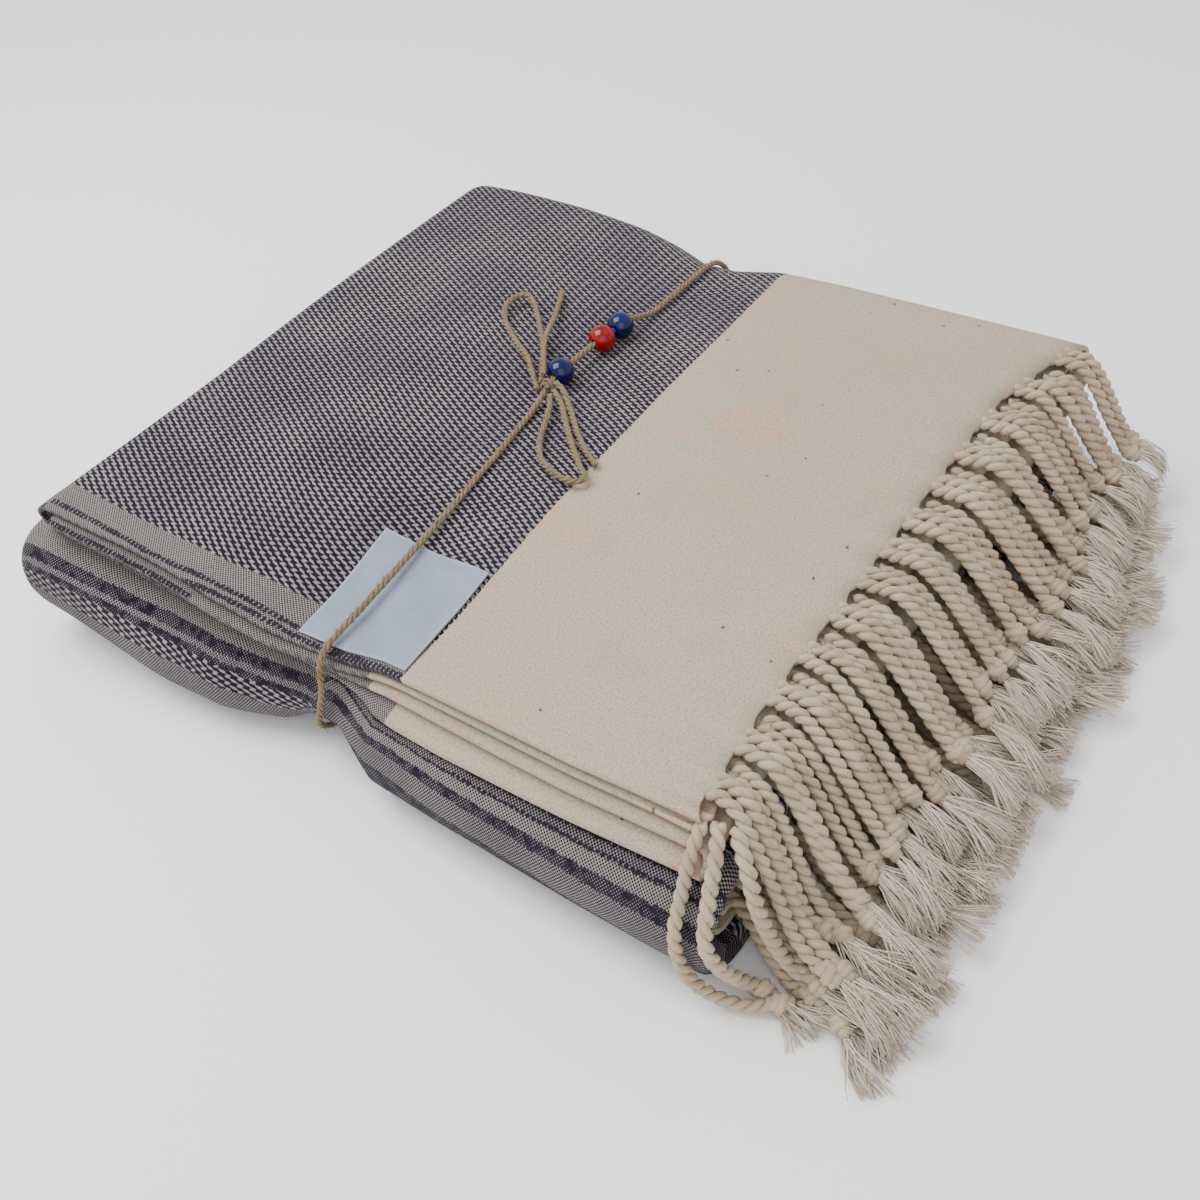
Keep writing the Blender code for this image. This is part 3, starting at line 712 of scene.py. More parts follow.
def towelPlaces():
    across = towel["across"]
    places = [("shoulder", 1 - step / across["shoulder"]) for step in range(across["shoulder"])]
    for kind in ("top", "far", "middle", "near", "bottom"):
        places += [(kind, step / across[kind]) for step in range(across[kind])]
    places.append(("bottom", 1.0))
    return places


def scallopAt(y):
    # 0 at the cords, 1 halfway between two bunches of them
    cusps = towel["cusps"]
    for before, after in zip(cusps, cusps[1:]):
        if before < y < after:
            return sin(pi * (y - before) / (after - before)) ** towel["roundness"]
    return 0.0


def towelDetail(point, kind, layer, x):
    # the scalloped, gathered edge and the small unevenness of laid cloth
    y = point.y - fold["centre"][1]
    onEdge = kind in ("top", "shoulder")
    if layer == 1 and onEdge:
        inward = fold["topEndX"] - x
        arc = scallopAt(y)
        pull = exp(-inward / towel["scallopReach"])
        tall, wide, reach = towel["gather"]
        ripple = cos(2 * pi * y / wide + 3 * sin(y / 0.019)) * exp(-inward / reach)
        point.x -= towel["scallop"] * arc * pull
        point.z += tall * ripple * (0.35 + 0.65 * arc) - towel["scallopDip"] * arc * pull
    elif layer == 2 and onEdge:
        inward = fold["underEndX"] - x
        arc = scallopAt(y + towel["underShift"])
        tall, wide, reach = towel["underGather"]
        point.x -= 0.5 * towel["scallop"] * arc * exp(-inward / towel["scallopReach"])
        point.z += tall * cos(2 * pi * y / wide) * exp(-inward / reach)
    if layer == 1 and kind == "top":
        along, across = point.x, point.y
        wave = sin(along / 0.021 + 2.2 * sin(across / 0.043)) * sin(across / 0.027 + 1.4 * sin(along / 0.05))
        point.z += towel["uneven"] * wave * (1 - pinch(x))
    return point


# where the pale band of the flap ends, in metres from the selvedge
paleBand = (
    # x, width
    (-0.185, 0.0190), (-0.160, 0.0182), (-0.140, 0.0170), (-0.118, 0.0163), (-0.100, 0.0172),
    (-0.080, 0.0195), (-0.065, 0.0215), (-0.050, 0.0225), (0.040, 0.0225),
)
# how far in from the flap's selvedge its two lines of dots lie
upperLine = (
    # x, place
    (-0.180, 0.0052), (-0.165, 0.0050), (-0.150, 0.0045), (-0.130, 0.0033), (-0.115, 0.0024),
    (-0.100, 0.0030), (-0.090, 0.0045), (-0.078, 0.0062), (-0.068, 0.0070), (-0.050, 0.0078),
    (-0.040, 0.0078), (-0.030, 0.0067), (-0.018, 0.0050), (-0.008, 0.0036), (0.004, 0.0030),
    (0.015, 0.0018), (0.030, 0.0014),
)
lowerLine = (
    # x, place
    (-0.092, -0.0020), (-0.080, 0.0012), (-0.068, 0.0025), (-0.055, 0.0033), (-0.040, 0.0035),
    (-0.030, 0.0026), (-0.020, 0.0018), (-0.008, 0.0012), (0.030, 0.0008),
)
# how far the bands of the near fold run down, left of the tie
leftDrop = (
    # x, drop
    (-0.185, 0.0005), (-0.160, 0.0005), (-0.110, 0.0), (-0.080, 0.0008), (-0.065, 0.0025),
    (-0.050, 0.0045), (-0.035, 0.0065), (-0.015, 0.0080),
)
# how closely they lie there, right of the tie
rightSpread = (
    # x, share
    (-0.015, 1.10), (0.020, 1.45), (0.030, 1.40), (0.060, 1.15), (0.090, 1.00), (0.130, 0.81),
    (0.165, 0.70), (0.190, 0.68),
)


def lookUp(table, x):
    return rowAt(table, x)[0]


def bandPlace(kind, x, across, nearStart):
    # below 0 on the flap, measured in from the selvedge; above 0 down the near fold
    if kind in ("shoulder", "top"):
        return -across * 0.013 / lookUp(paleBand, x)
    if kind != "near":
        return -1.0
    down = across - nearStart
    if x < waist["x"]:
        return down - lookUp(leftDrop, x)
    return 0.014 + (down - 0.014) * lookUp(rightSpread, x)


def linePlaces(kind, layer, x, across):
    # how far from the middles of the two lines of dots a place lies
    if kind in ("shoulder", "top") and layer == 1:
        return across - lookUp(upperLine, x), across - lookUp(lowerLine, x)
    if kind in ("shoulder", "top") and x < -0.076:
        return 1.0, across - 0.0014
    return 1.0, 1.0


def lengthsAlong(grid):
    # from the mean of some rows
    sampled = range(20, len(grid[0]) - 10, 12)
    along = [0.0]
    for before, after in zip(grid, grid[1:]):
        step = sum((after[j] - before[j]).length for j in sampled) / len(sampled)
        along.append(along[-1] + step)
    return along


def lengthsAcross(grid, farStart, nearStart, nearEnd):
    # true on the flap and the near fold, and eased between them so that each column ends alike
    runs = []
    for column in grid:
        run = [0.0]
        for before, after in zip(column, column[1:]):
            run.append(run[-1] + (after - before).length)
        runs.append(run)
    mean = [sum(values) / len(runs) for values in zip(*runs)]
    across = []
    for run in runs:
        values = []
        for j, length in enumerate(run):
            if j <= farStart:
                values.append(length)
            elif j <= nearStart:
                share = (length - run[farStart]) / (run[nearStart] - run[farStart])
                values.append(mix(run[farStart], mean[nearStart], share))
            elif j <= nearEnd:
                values.append(mean[nearStart] + length - run[nearStart])
            else:
                share = (length - run[nearEnd]) / (run[-1] - run[nearEnd])
                values.append(mix(values[nearEnd], mean[-1], share))
        across.append(values)
    return across, mean


def makeTowel():
    stations = towelStations()
    places = towelPlaces()
    kinds = [kind for kind, value in places]
    columns, rows = len(stations), len(places)
    grid = [[towelDetail(clothPoint(station, place), place[0], layer, x) for place in places]
            for station, layer, x in stations]
    along = lengthsAlong(grid)
    starts = [kinds.index(kind) for kind in ("far", "near", "bottom")]
    across, mean = lengthsAcross(grid, *starts)
    nearStart = mean[starts[1]]
    faces = []
    maps = {"UVMap": [], "bands": [], "lines": []}
    for i in range(columns - 1):
        for j in range(rows - 1):
            corners = ((i, j), (i + 1, j), (i + 1, j + 1), (i, j + 1))
            faces.append(tuple(a * rows + b for a, b in corners))
            for a, b in corners:
                x = stations[a][2]
                maps["UVMap"].append((along[a], across[a][b]))
                maps["bands"].append((x, bandPlace(kinds[j], x, across[a][b], nearStart)))
                maps["lines"].append(linePlaces(kinds[j], stations[i][1], x, across[a][b]))
    obj = addMesh("towelCloth", [point for column in grid for point in column], faces, maps)
    thicken(obj, fold["cloth"] - 0.0002)
    bpy.ops.object.shade_smooth()
    print("towel", len(obj.data.polygons), "faces, cut", round(mean[-1], 3), "by", round(along[-1], 3), "m")
    return obj, mean[-1], along[-1]


# The weave: colours, and repeats and widths in metres
weave = {
    "cream": linear(192, 178, 154),
    "creamPink": linear(208, 166, 146),
    "creamGrey": linear(178, 172, 154),
    "creamFleck": linear(150, 134, 108),
    "pale": linear(146, 139, 135),
    "grey": linear(130, 124, 124),
    "bright": linear(142, 135, 127),
    "navy": linear(20, 13, 32),
    "speck": linear(84, 68, 50),
    "dash": (0.0060, 0.0034),          # repeat of the body's weave, along and across
    "thread": (0.00150, 0.00170),      # repeat of the plain weave
    "margin": (0.146, 0.188),          # cream selvedge either side of the middle
    "lineHalf": 0.0014,                # half the width of a dotted line
}
# bands down the near fold in metres, left of the tie and right of it
leftBands = {"pale": (-0.010, 0.0155), "stripe": (0.0150, 0.0206), "secondStripe": (0.0234, 0.0266),
             "bones": (0.0262, 0.0360)}
rightBands = {"dots": ((0.0132, 0.0148), (0.0176, 0.0192)), "pale": (0.0192, 0.0245),
              "stripe": (0.0243, 0.0292), "lowDots": 0.0410}


def makeWeaveMaterial(length):
    material, n, shader = newMaterial("wovenCotton", 0.92, Specular_IOR_Level=0.10, Sheen_Weight=0.05,
                                      Sheen_Roughness=0.6)
    uv = n.uvMap()
    along, across = n.separate(uv)
    placeX, band = n.separate(n.uvMap("bands"))
    swing = n.wobble(uv, 9.0, 0.0030)
    alongW = n.plus(along, swing)
    acrossW = n.plus(across, n.times(swing, 0.6))
    x = n.times(alongW, -1.0)

    # body weave: a broken twill of slanted navy dashes
    px, py = weave["dash"]
    turnX = n.times(x, 2 * pi / px)
    first = n.math("COSINE", n.scaled(acrossW, 2 * pi / py, turnX))
    second = n.math("COSINE", n.scaled(acrossW, -2 * pi / py, turnX))
    third = n.math("COSINE", n.scaled(acrossW, 4 * pi / py, turnX))
    bones = n.scaled(second, 0.66, n.scaled(third, 0.5, first))
    unevenness = n.wobble(uv, 520.0, 2.4, 0.7)
    slow = n.wobble(uv, 26.0, 0.7)
    bones = n.plus(bones, n.plus(unevenness, slow))
    boneDark = n.step(bones, -1.0, 0.25)

    # plain weave
    tx, ty = weave["thread"]
    plain = n.times(n.wave(x, tx), n.wave(acrossW, ty))
    plain = n.plus(plain, n.times(unevenness, 0.22))
    plainDark = n.step(plain, -0.40, 0.25)
    plainLight = n.step(plain, -0.22, 0.42)
    plainPale = n.step(plain, 0.15, 0.70)

    # the ends are cream, and their line is ragged by a thread or two
    fromEnd = n.smaller(along, n.minus(length, along))
    nearCream, farCream = towel["creamEnd"]
    line = n.scaled(across, (farCream - nearCream) / towel["creamOver"], nearCream)
    line = n.smaller(line, farCream)
    underEnd = n.step(along, length / 2 - 0.001, length / 2 + 0.001)
    line = n.scaled(underEnd, towel["underCream"], line)
    ragged = n.wobble(uv, 300.0, 0.0016)
    cream = n.step(n.minus(n.plus(fromEnd, ragged), line), 0.0003, -0.0003)
    before, after = weave["margin"]
    fromMiddle = n.minus(alongW, length / 2)
    margin = n.times(n.band(fromMiddle, -before, after, 0.0005), n.step(across, 0.671, 0.670))
    cream = n.larger(cream, margin)

    # the selvedge of the flap: two lines of dots and a pale band
    acrossWander = n.wobble(uv, 60.0, 0.0010)
    bandW = n.plus(band, acrossWander)
    fromUpper, fromLower = n.separate(n.uvMap("lines"))
    onFlap = n.step(band, 0.0001, -0.0001)
    dotWave = n.wave(x, 0.0026)
    clumps = n.noise(n.combine(along, n.times(across, 6.0), 0.0), 95.0, 2.0, 0.6)
    dotMask = n.step(n.scaled(clumps, 4.2, n.minus(dotWave, 1.3)), -0.3, 0.3)
    lineRag = n.wobble(uv, 380.0, 0.0026, 0.7)
    half = weave["lineHalf"]
    upperDots = n.band(n.plus(fromUpper, lineRag), -half, half, 0.0004)
    lowerDots = n.band(n.plus(fromLower, lineRag), -half, half, 0.0004)
    edgeDots = n.times(n.larger(upperDots, lowerDots), dotMask)
    edgePale = n.band(bandW, -0.0130, 0.001, 0.0004)

    # bands down the near fold
    isRight = n.step(placeX, waist["x"] - 0.0005, waist["x"] + 0.0005)
    onNear = n.step(band, -0.0001, 0.0001)
    ragEdge = n.plus(bandW, n.wobble(uv, 420.0, 0.0034, 0.75))

    def between(limits, soft=0.0003):
        return n.band(ragEdge, limits[0], limits[1], soft)

    leftPale = between(leftBands["pale"])
    leftStripe = between(leftBands["stripe"])
    leftSecond = between(leftBands["secondStripe"])
    leftBones = between(leftBands["bones"])
    rightPale = between(rightBands["pale"])
    rightStripe = between(rightBands["stripe"])
    rightLow = n.step(ragEdge, rightBands["lowDots"], rightBands["lowDots"] + 0.0008)
    rightDots = n.larger(between(rightBands["dots"][0]), between(rightBands["dots"][1]))

    stripe = n.number(isRight, n.larger(leftStripe, leftSecond), n.larger(rightStripe, rightLow))
    stripe = n.times(stripe, onNear)
    nearDots = n.times(n.times(rightDots, isRight), n.times(dotMask, onNear))
    bonesHere = n.times(n.times(leftBones, n.minus(1.0, isRight)), onNear)
    # plain weave everywhere on the near fold but in the bones; on the flap only in its pale band
    plainHere = n.number(onNear, n.times(edgePale, onFlap), n.minus(1.0, bonesHere))
    brighter = n.times(n.number(isRight, leftPale, rightPale), onNear)
    brighter = n.larger(brighter, n.times(edgePale, onFlap))

    plainShade = n.number(brighter, plainDark, plainLight)
    dark = n.number(plainHere, boneDark, plainShade)
    dark = n.larger(dark, n.times(n.larger(edgeDots, nearDots), 0.95))
    mottle = n.step(n.noise(uv, 170.0, 3.0, 0.6), 0.38, 0.58)
    stripeDark = n.minus(1.0, n.times(n.times(plainPale, 0.8), mottle))
    dark = n.number(stripe, dark, stripeDark)

    # colour
    blotch = n.noise(uv, 16.0, 3.0, 0.6)
    paleColour = n.blend(n.step(blotch, 0.35, 0.65), weave["pale"], weave["grey"])
    paleColour = n.blend(n.times(brighter, 0.6), paleColour, weave["bright"])
    woven = n.blend(dark, paleColour, weave["navy"])
    pink = n.step(n.noise(uv, 15.0, 3.0, 0.6), 0.50, 0.66)
    grey = n.step(n.noise(uv, 31.0, 2.0, 0.5), 0.50, 0.75)
    creamColour = n.blend(n.times(pink, 0.85), weave["cream"], weave["creamPink"])
    creamColour = n.blend(n.times(grey, 0.55), creamColour, weave["creamGrey"])
    grain = n.noise(uv, 900.0, 3.0, 0.75)
    creamColour = n.blend(n.times(n.step(grain, 0.44, 0.68), 0.85), creamColour, weave["creamFleck"])
    seeds = n.add("ShaderNodeTexVoronoi", feature="F1")
    n.feed(seeds, "Vector", uv)
    n.feed(seeds, "Scale", 70.0)
    n.feed(seeds, "Randomness", 1.0)
    seed = n.step(seeds.outputs["Distance"], 0.075, 0.040)
    few = n.step(n.noise(uv, 55.0, 1.0), 0.40, 0.50)
    creamColour = n.blend(n.times(n.times(seed, few), 0.9), creamColour, weave["speck"])
    colour = n.blend(cream, woven, creamColour)
    n.link(colour, shader.inputs["Base Color"])

    # relief: fine threads everywhere, deeper where the dashes lie
    fine = n.times(n.wave(x, 0.00078), n.wave(acrossW, 0.00082))
    relief = n.number(cream, n.scaled(fine, 0.3, n.times(dark, -1.0)), n.times(fine, 0.7))
    slub = n.noise(n.combine(n.times(along, 30.0), n.times(across, 400.0)), 1.0, 2.0)
    relief = n.plus(relief, n.times(slub, 0.8))
    relief = n.plus(relief, n.times(grain, 0.8))
    n.link(n.bump(relief, 0.00025, 0.9), shader.inputs["Normal"])
    return material


towelObject, cutWidth, cutLength = makeTowel()
towelObject.data.materials.append(makeWeaveMaterial(cutLength))
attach(towelObject, "root")
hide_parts("towel_cloth")


# The fringe: twisted cords, each with a knot and a brush of loose yarns
fringe = {
    "strands": 16,                     # in each row but the upper ones
    "cord": 0.0066,
    "pitch": 0.0106,                   # of the cord's twist
    "strip": 0.0030,                   # the strip that the solid's strands grow from
    "gap": 0.00035,                    # and the gap before it
    "fan": 0.024,                      # how far the tips spread, over this reach
    "fanReach": 0.090,
    "sway": 0.0012,
    "farReach": 0.62,                  # the cords are drawn this much shorter on the far side
    "nearLevel": 0.0215,               # height and run of the uppermost cords near the corner
    "nearRun": 0.72,
    "topLead": 0.003,                  # the uppermost cords fall from here on
    "cordTall": 0.0058,                # height of the solid's strand along the cord
    "endTall": (0.0076, 0.0046, 0.0044),       # and at its knot, neck and tip
    "slack": 0.004,                    # how much longer or shorter a cord is than its neighbours
    "arch": 0.0035,                    # the most that a cord rises over its way, bows and swings
    "bow": 0.0030,
    "swing": 0.0055,
    "lead": {"top": 0.0062, "middle": 0.0035, "bottom": 0.0035},   # how far in the cloth a cord starts
    "knot": 0.0098,
    "spread": (0.0070, 0.0110),        # of the brush
    "cornerSpread": 0.0100,
    "beside": {1: (0.0012, -0.0058), 2: (-0.0116, -0.0176)},   # cords by each cusp of the flap
    "nearest": -0.163,                 # no upper cord starts nearer than this
    "shift": {1: -0.25, 2: 0.25},
    "seed": 40,
}
# knots, as shares of their size: the wraps, and the cord that they lie round
knotForm = {
    "wraps": 1.8,
    "steps": 14,
    "radius": (0.27, 0.03),
    "length": 0.46,
    "wrapWidth": 0.46,
    "coreWidth": 0.6,
    "core": (-0.55, -0.2, 0.2, 0.55),
    "lowest": 0.57,
}
# the loose ends behind a knot
brush = {
    "yarn": 0.00070,
    "yarns": 46,
    "locks": 6,
    "steps": 5,
    "root": 0.0021,                    # radius over which the yarns leave the knot
    "inside": 0.002,
    "droop": 0.010,
    "droopAbove": 0.014,
    "wave": 0.00055,
}
fringeRows = {
    # end, third: level, run, stations of the cord, knot, neck, tip
    (1, "top"): (0.0300, 0.060, (0.010, 0.022, 0.034, 0.045), 0.0510, 0.057, 0.077),
    (2, "top"): (0.0265, 0.053, (0.010, 0.020, 0.030, 0.038), 0.0440, 0.050, 0.070),
    (2, "middle"): (0.0122, 0.034, (0.011, 0.023, 0.034), 0.0410, 0.047, 0.071),
    (1, "middle"): (0.0122, 0.030, (0.010, 0.020, 0.042), 0.0490, 0.055, 0.078),
    (1, "bottom"): (0.0, 0.032, (0.010, 0.021, 0.033), 0.0400, 0.046, 0.070),
    (2, "bottom"): (0.0, 0.023, (0.008, 0.015, 0.041), 0.0480, 0.054, 0.077),
}


def fringeDrift(x, y):
    out = max(x - fold["topEndX"], 0.0) / fringe["fanReach"]
    lean = sin(y / 0.047 + 0.9) + 0.5 * sin(y / 0.021)
    return fringe["fan"] * out * y / 0.17 + fringe["sway"] * out * lean


# three cords hang from the flap's near corner, in front of the near fold
cornerCords = (
    # width, stations from the flap's corner to the knot, then the neck and the tip
    (0.0060, ((0.1790, -0.1690, 0.0745), (0.1792, -0.1785, 0.0655), (0.1795, -0.1850, 0.0540),
              (0.1812, -0.1945, 0.0420), (0.1840, -0.1978, 0.0310), (0.1880, -0.1972, 0.0200),
              (0.1930, -0.1940, 0.0105), (0.2005, -0.1910, 0.0054), (0.2090, -0.1880, 0.0046),
              (0.2180, -0.1820, 0.0055)),
     (0.2235, -0.1790, 0.0040), (0.2460, -0.1740, 0.0040)),
    (0.0066, ((0.1840, -0.1660, 0.0735), (0.1885, -0.1765, 0.0660), (0.1900, -0.1840, 0.0545),
              (0.1930, -0.1930, 0.0410), (0.1972, -0.1930, 0.0300), (0.2010, -0.1880, 0.0190),
              (0.2050, -0.1825, 0.0095), (0.2095, -0.1800, 0.0060)),
     (0.2145, -0.1800, 0.0050), (0.2340, -0.1880, 0.0040)),
    (0.0070, ((0.1900, -0.1640, 0.0720), (0.1990, -0.1720, 0.0640), (0.2045, -0.1755, 0.0500),
              (0.2090, -0.1745, 0.0340), (0.2140, -0.1715, 0.0190), (0.2210, -0.1695, 0.0085),
              (0.2310, -0.1720, 0.0050), (0.2410, -0.1780, 0.0055)),
     (0.2460, -0.1825, 0.0045), (0.2610, -0.1985, 0.0030)),
)


def strandRoute(row, root, step):
    # the middle line of the solid's own strand, ending in its knot, neck and tip
    level, run, cords, knot, neck, tip = fringeRows[row]
    slack = fringe["slack"] * sin(2.3 * step + row[0])
    outs = list(cords) + [knot + slack, neck + slack, tip + slack]
    outs[len(cords) - 1] = cords[-1] + slack
    talls = [fringe["cordTall"]] * len(cords) + list(fringe["endTall"])
    reach = mix(1.0, fringe["farReach"], smooth((root.y - 0.06) / 0.11))
    late = fringe["topLead"] if row[1] == "top" else 0.0
    if row[1] == "top":
        nearness = smooth((-root.y - 0.10) / 0.055)
        level = mix(level, fringe["nearLevel"], nearness)
        run = mix(run, run * fringe["nearRun"], nearness)
    centres = [root]
    for out, tall in zip(outs, talls):
        rest = level if level else tall / 2
        fall = smooth((out - late) / (run - late))
        x = root.x + out * reach
        y = root.y + fringeDrift(x, root.y) - fringeDrift(root.x, root.y)
        centres.append(Vector((x, y, mix(root.z, rest, fall))))
    return centres


def shifted(point):
    return point + Vector(fold["centre"])


def onFloor(point, height):
    return Vector((point.x, point.y, max(point.z, height)))


def crossFrame(aim):
    aim = aim.normalized()
    side = aim.cross(Vector((0, 0, 1))).normalized()
    return aim, side, side.cross(aim).normalized()


def addKnot(builder, centre, aim, size, rng):
    # an overhand knot: wraps of cord that lie askew over the cord itself
    aim, side, over = crossFrame(aim)
    tilt = rng.uniform(-0.35, 0.35)
    start = rng.uniform(0, 2 * pi)
    centre = onFloor(centre, size * knotForm["lowest"])
    radius, change = knotForm["radius"]
    path = []
    for i in range(knotForm["steps"] + 1):
        t = i / knotForm["steps"]
        angle = start + 2 * pi * knotForm["wraps"] * t
        out = size * (radius + change * cos(3 * angle))
        forward = size * (knotForm["length"] * (t - 0.5)) + tilt * size * 0.3 * cos(angle)
        path.append(centre + aim * forward + (side * cos(angle) + over * sin(angle)) * out)
    builder.tube(path, size * knotForm["wrapWidth"], 6, lambda t: 0.75 + 0.25 * sin(pi * t))
    core = [centre + aim * size * out for out in knotForm["core"]]
    builder.tube(core, size * knotForm["coreWidth"], 7)


def addBrush(builder, neck, aim, length, spread, rng):
    # loose yarns that fan out behind the knot in a few locks, cut off about level
    aim, side, over = crossFrame(aim)
    bend = rng.uniform(-0.40, 0.40)
    droop = brush["droop"] if neck.z > brush["droopAbove"] else 0.0
    locks = []
    while len(locks) < brush["locks"]:
        locks.append((rng.uniform(-1, 1), rng.uniform(-1, 1), rng.uniform(-0.0016, 0.0016)))
    for k in range(brush["yarns"]):
        lateral, vertical, curl = locks[k % brush["locks"]]
        lateral = (lateral + rng.uniform(-0.45, 0.45)) * spread
        vertical = (vertical + rng.uniform(-0.45, 0.45)) * spread * 0.42
        angle = rng.uniform(0, 2 * pi)
        waves = rng.uniform(5.0, 9.0)
        long = length * rng.uniform(0.90, 1.04)
        around = (side * cos(angle) + over * sin(angle)) * brush["root"] * sqrt(rng.random())
        start = neck + around - aim * brush["inside"]
        path = []
        for i in range(brush["steps"] + 1):
            t = i / brush["steps"]
            sideways = lateral * t ** 1.2 + bend * length * 0.4 * t * t
            sideways += (curl * sin(4.2 * t) + brush["wave"] * sin(waves * t + angle)) * min(1.0, 3 * t)
            point = start + aim * long * t + side * sideways
            point += over * (vertical * t + 0.0005 * cos(waves * t + 2 * angle) * t)
            point.z = max(point.z - droop * t * t, brush["yarn"] / 2 + 0.0003)
            path.append(point)
        builder.tube(path, brush["yarn"] * rng.uniform(0.75, 1.2), 3, lambda t: 1.0 - 0.3 * t)


def rootPoint(end, kind, value):
    endX = fold["topEndX"] if end == 1 else fold["underEndX"]
    x = endX + fringe["gap"] + fringe["strip"] * 0.4
    index = fold["midIndex"] - (end - 1)
    station = (x, 0.0, index, edgeDegreesAt(end, endX))
    point = clothPoint(station, (kind, value))
    return point - Vector(fold["centre"])


def valueAt(end, target):
    # the place along the flap's end that lies at this y
    low, high = 0.0, 1.0
    while high - low > 1e-7:
        middle = (low + high) / 2
        if rootPoint(end, "top", middle).y < target:
            low = middle
        else:
            high = middle
    return (low + high) / 2


def addStrand(builder, stations, neck, tip, width, spread, rng):
    route = [onFloor(point, width * 0.54) for point in evenRoute(smoothRoute(stations, 8), 0.0013)]
    pitch = fringe["pitch"] * rng.uniform(0.88, 1.15) * max(1.0, width / 0.0060 - 0.17)
    twistedPlies(builder, route, width, 2, pitch, 6, rng.uniform(0, 2 * pi))
    addKnot(builder, stations[-1], neck - stations[-2], fringe["knot"] * rng.uniform(0.90, 1.06), rng)
    builder.loose = 1.0
    addBrush(builder, neck, tip - neck, (tip - neck).length + 0.002, spread, rng)
    builder.loose = 0.0


def makeFringe(name, end, material):
    rng = random.Random(fringe["seed"] + end)
    builder = Builder()
    jobs = []
    for cusp in towel["cusps"][1:]:
        for beside in fringe["beside"][end]:
            if cusp + beside > fringe["nearest"]:
                jobs.append(("top", valueAt(end, cusp + beside)))
    first = 0.5 + fringe["shift"][end]
    for kind in ("middle", "bottom"):
        jobs += [(kind, (step + first) / fringe["strands"]) for step in range(fringe["strands"])]
    for step, (kind, value) in enumerate(jobs):
        root = rootPoint(end, kind, value)
        centres = strandRoute((end, kind), root, step)
        lie = rng.uniform(-1, 1)
        swing = rng.uniform(-fringe["swing"], fringe["swing"]) * (1.0 - 0.7 * smooth((root.y - 0.08) / 0.06))
        arch = rng.uniform(0.0, fringe["arch"]) if kind == "top" else 0.0
        moved = []
        for i, centre in enumerate(centres):
            t = i / (len(centres) - 1)
            across = fringe["bow"] * lie * sin(pi * t) + swing * t * t
            moved.append(shifted(centre + Vector((0.0, across, arch * sin(pi * min(1.0, 1.4 * t))))))
        cordPart, neck, tip = moved[:-2], moved[-2], moved[-1]
        start = cordPart[0] - Vector((fringe["lead"][kind], 0.0, 0.0))
        width = fringe["cord"] * rng.uniform(0.92, 1.08)
        tip += Vector((rng.uniform(-0.002, 0.006), rng.uniform(-0.004, 0.004), 0.0))
        addStrand(builder, [start] + cordPart, neck, tip, width, rng.uniform(*fringe["spread"]), rng)
    if end == 1:
        for width, stations, neck, tip in cornerCords:
            route = [shifted(Vector(place)) for place in stations]
            neck, tip = shifted(Vector(neck)), shifted(Vector(tip))
            addStrand(builder, route, neck, tip, width, fringe["cornerSpread"], rng)
    obj = builder.finish(name, material)
    triangles = sum(len(face.vertices) - 2 for face in obj.data.polygons)
    print(name, len(jobs), "strands,", triangles, "triangles")
    return obj


def makeCottonMaterial():
    material, n, shader = newMaterial("cottonCord", 0.93, Specular_IOR_Level=0.10, Sheen_Weight=0.10,
                                      Sheen_Roughness=0.55)
    uv = n.uvMap()
    along, round_ = n.separate(uv)
    objectPlace = n.add("ShaderNodeTexCoord").outputs["Object"]
    strand = n.attribute("strand")
    loose = n.attribute("loose")
    skewed = n.scaled(along, 0.55, round_)
    fibres = n.noise(n.combine(n.times(along, 220.0), n.times(skewed, 2600.0),
                               n.times(strand, 40.0)), 1.0, 2.0, 0.6)
    blotch = n.noise(objectPlace, 60.0, 2.0)
    base = n.blend(n.step(blotch, 0.3, 0.7), linear(188, 169, 145), linear(172, 152, 129))
    base = n.blend(n.times(n.step(fibres, 0.52, 0.75), 0.55), base, linear(112, 90, 70))
    yarn = n.blend(strand, linear(192, 174, 148), linear(230, 219, 202))
    base = n.blend(n.times(loose, 0.85), base, yarn)
    n.link(base, shader.inputs["Base Color"])
    n.link(n.bump(fibres, 0.00035, 0.9), shader.inputs["Normal"])
    return material


cottonMaterial = makeCottonMaterial()
fringeTop = makeFringe("fringeTopEnd", 1, cottonMaterial)
fringeUnder = makeFringe("fringeUnderEnd", 2, cottonMaterial)
for obj, node in ((fringeTop, "fringe_top_end"), (fringeUnder, "fringe_under_end")):
    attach(obj, "root")
    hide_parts(node)


# The label: where it lies on the flap, and its cloth
label = {
    "topX": (-0.0335, 0.0295),         # left and right end of its upper edge
    "lowX": (-0.0290, 0.0325),         # and of its lower edge
    "upper": (0.204, 0.186),           # how far up the flap it starts, at its left and right side
    "lower": (0.36, 0.50),             # how far round the shoulder it ends there
    "size": (0.062, 0.066),
    "thickness": 0.0007,
    "gap": 0.0009,
    "pieces": (28, 32),
    "wave": 0.00022,
    "sharp": 40,                       # degrees from which an edge is shaded sharp
}


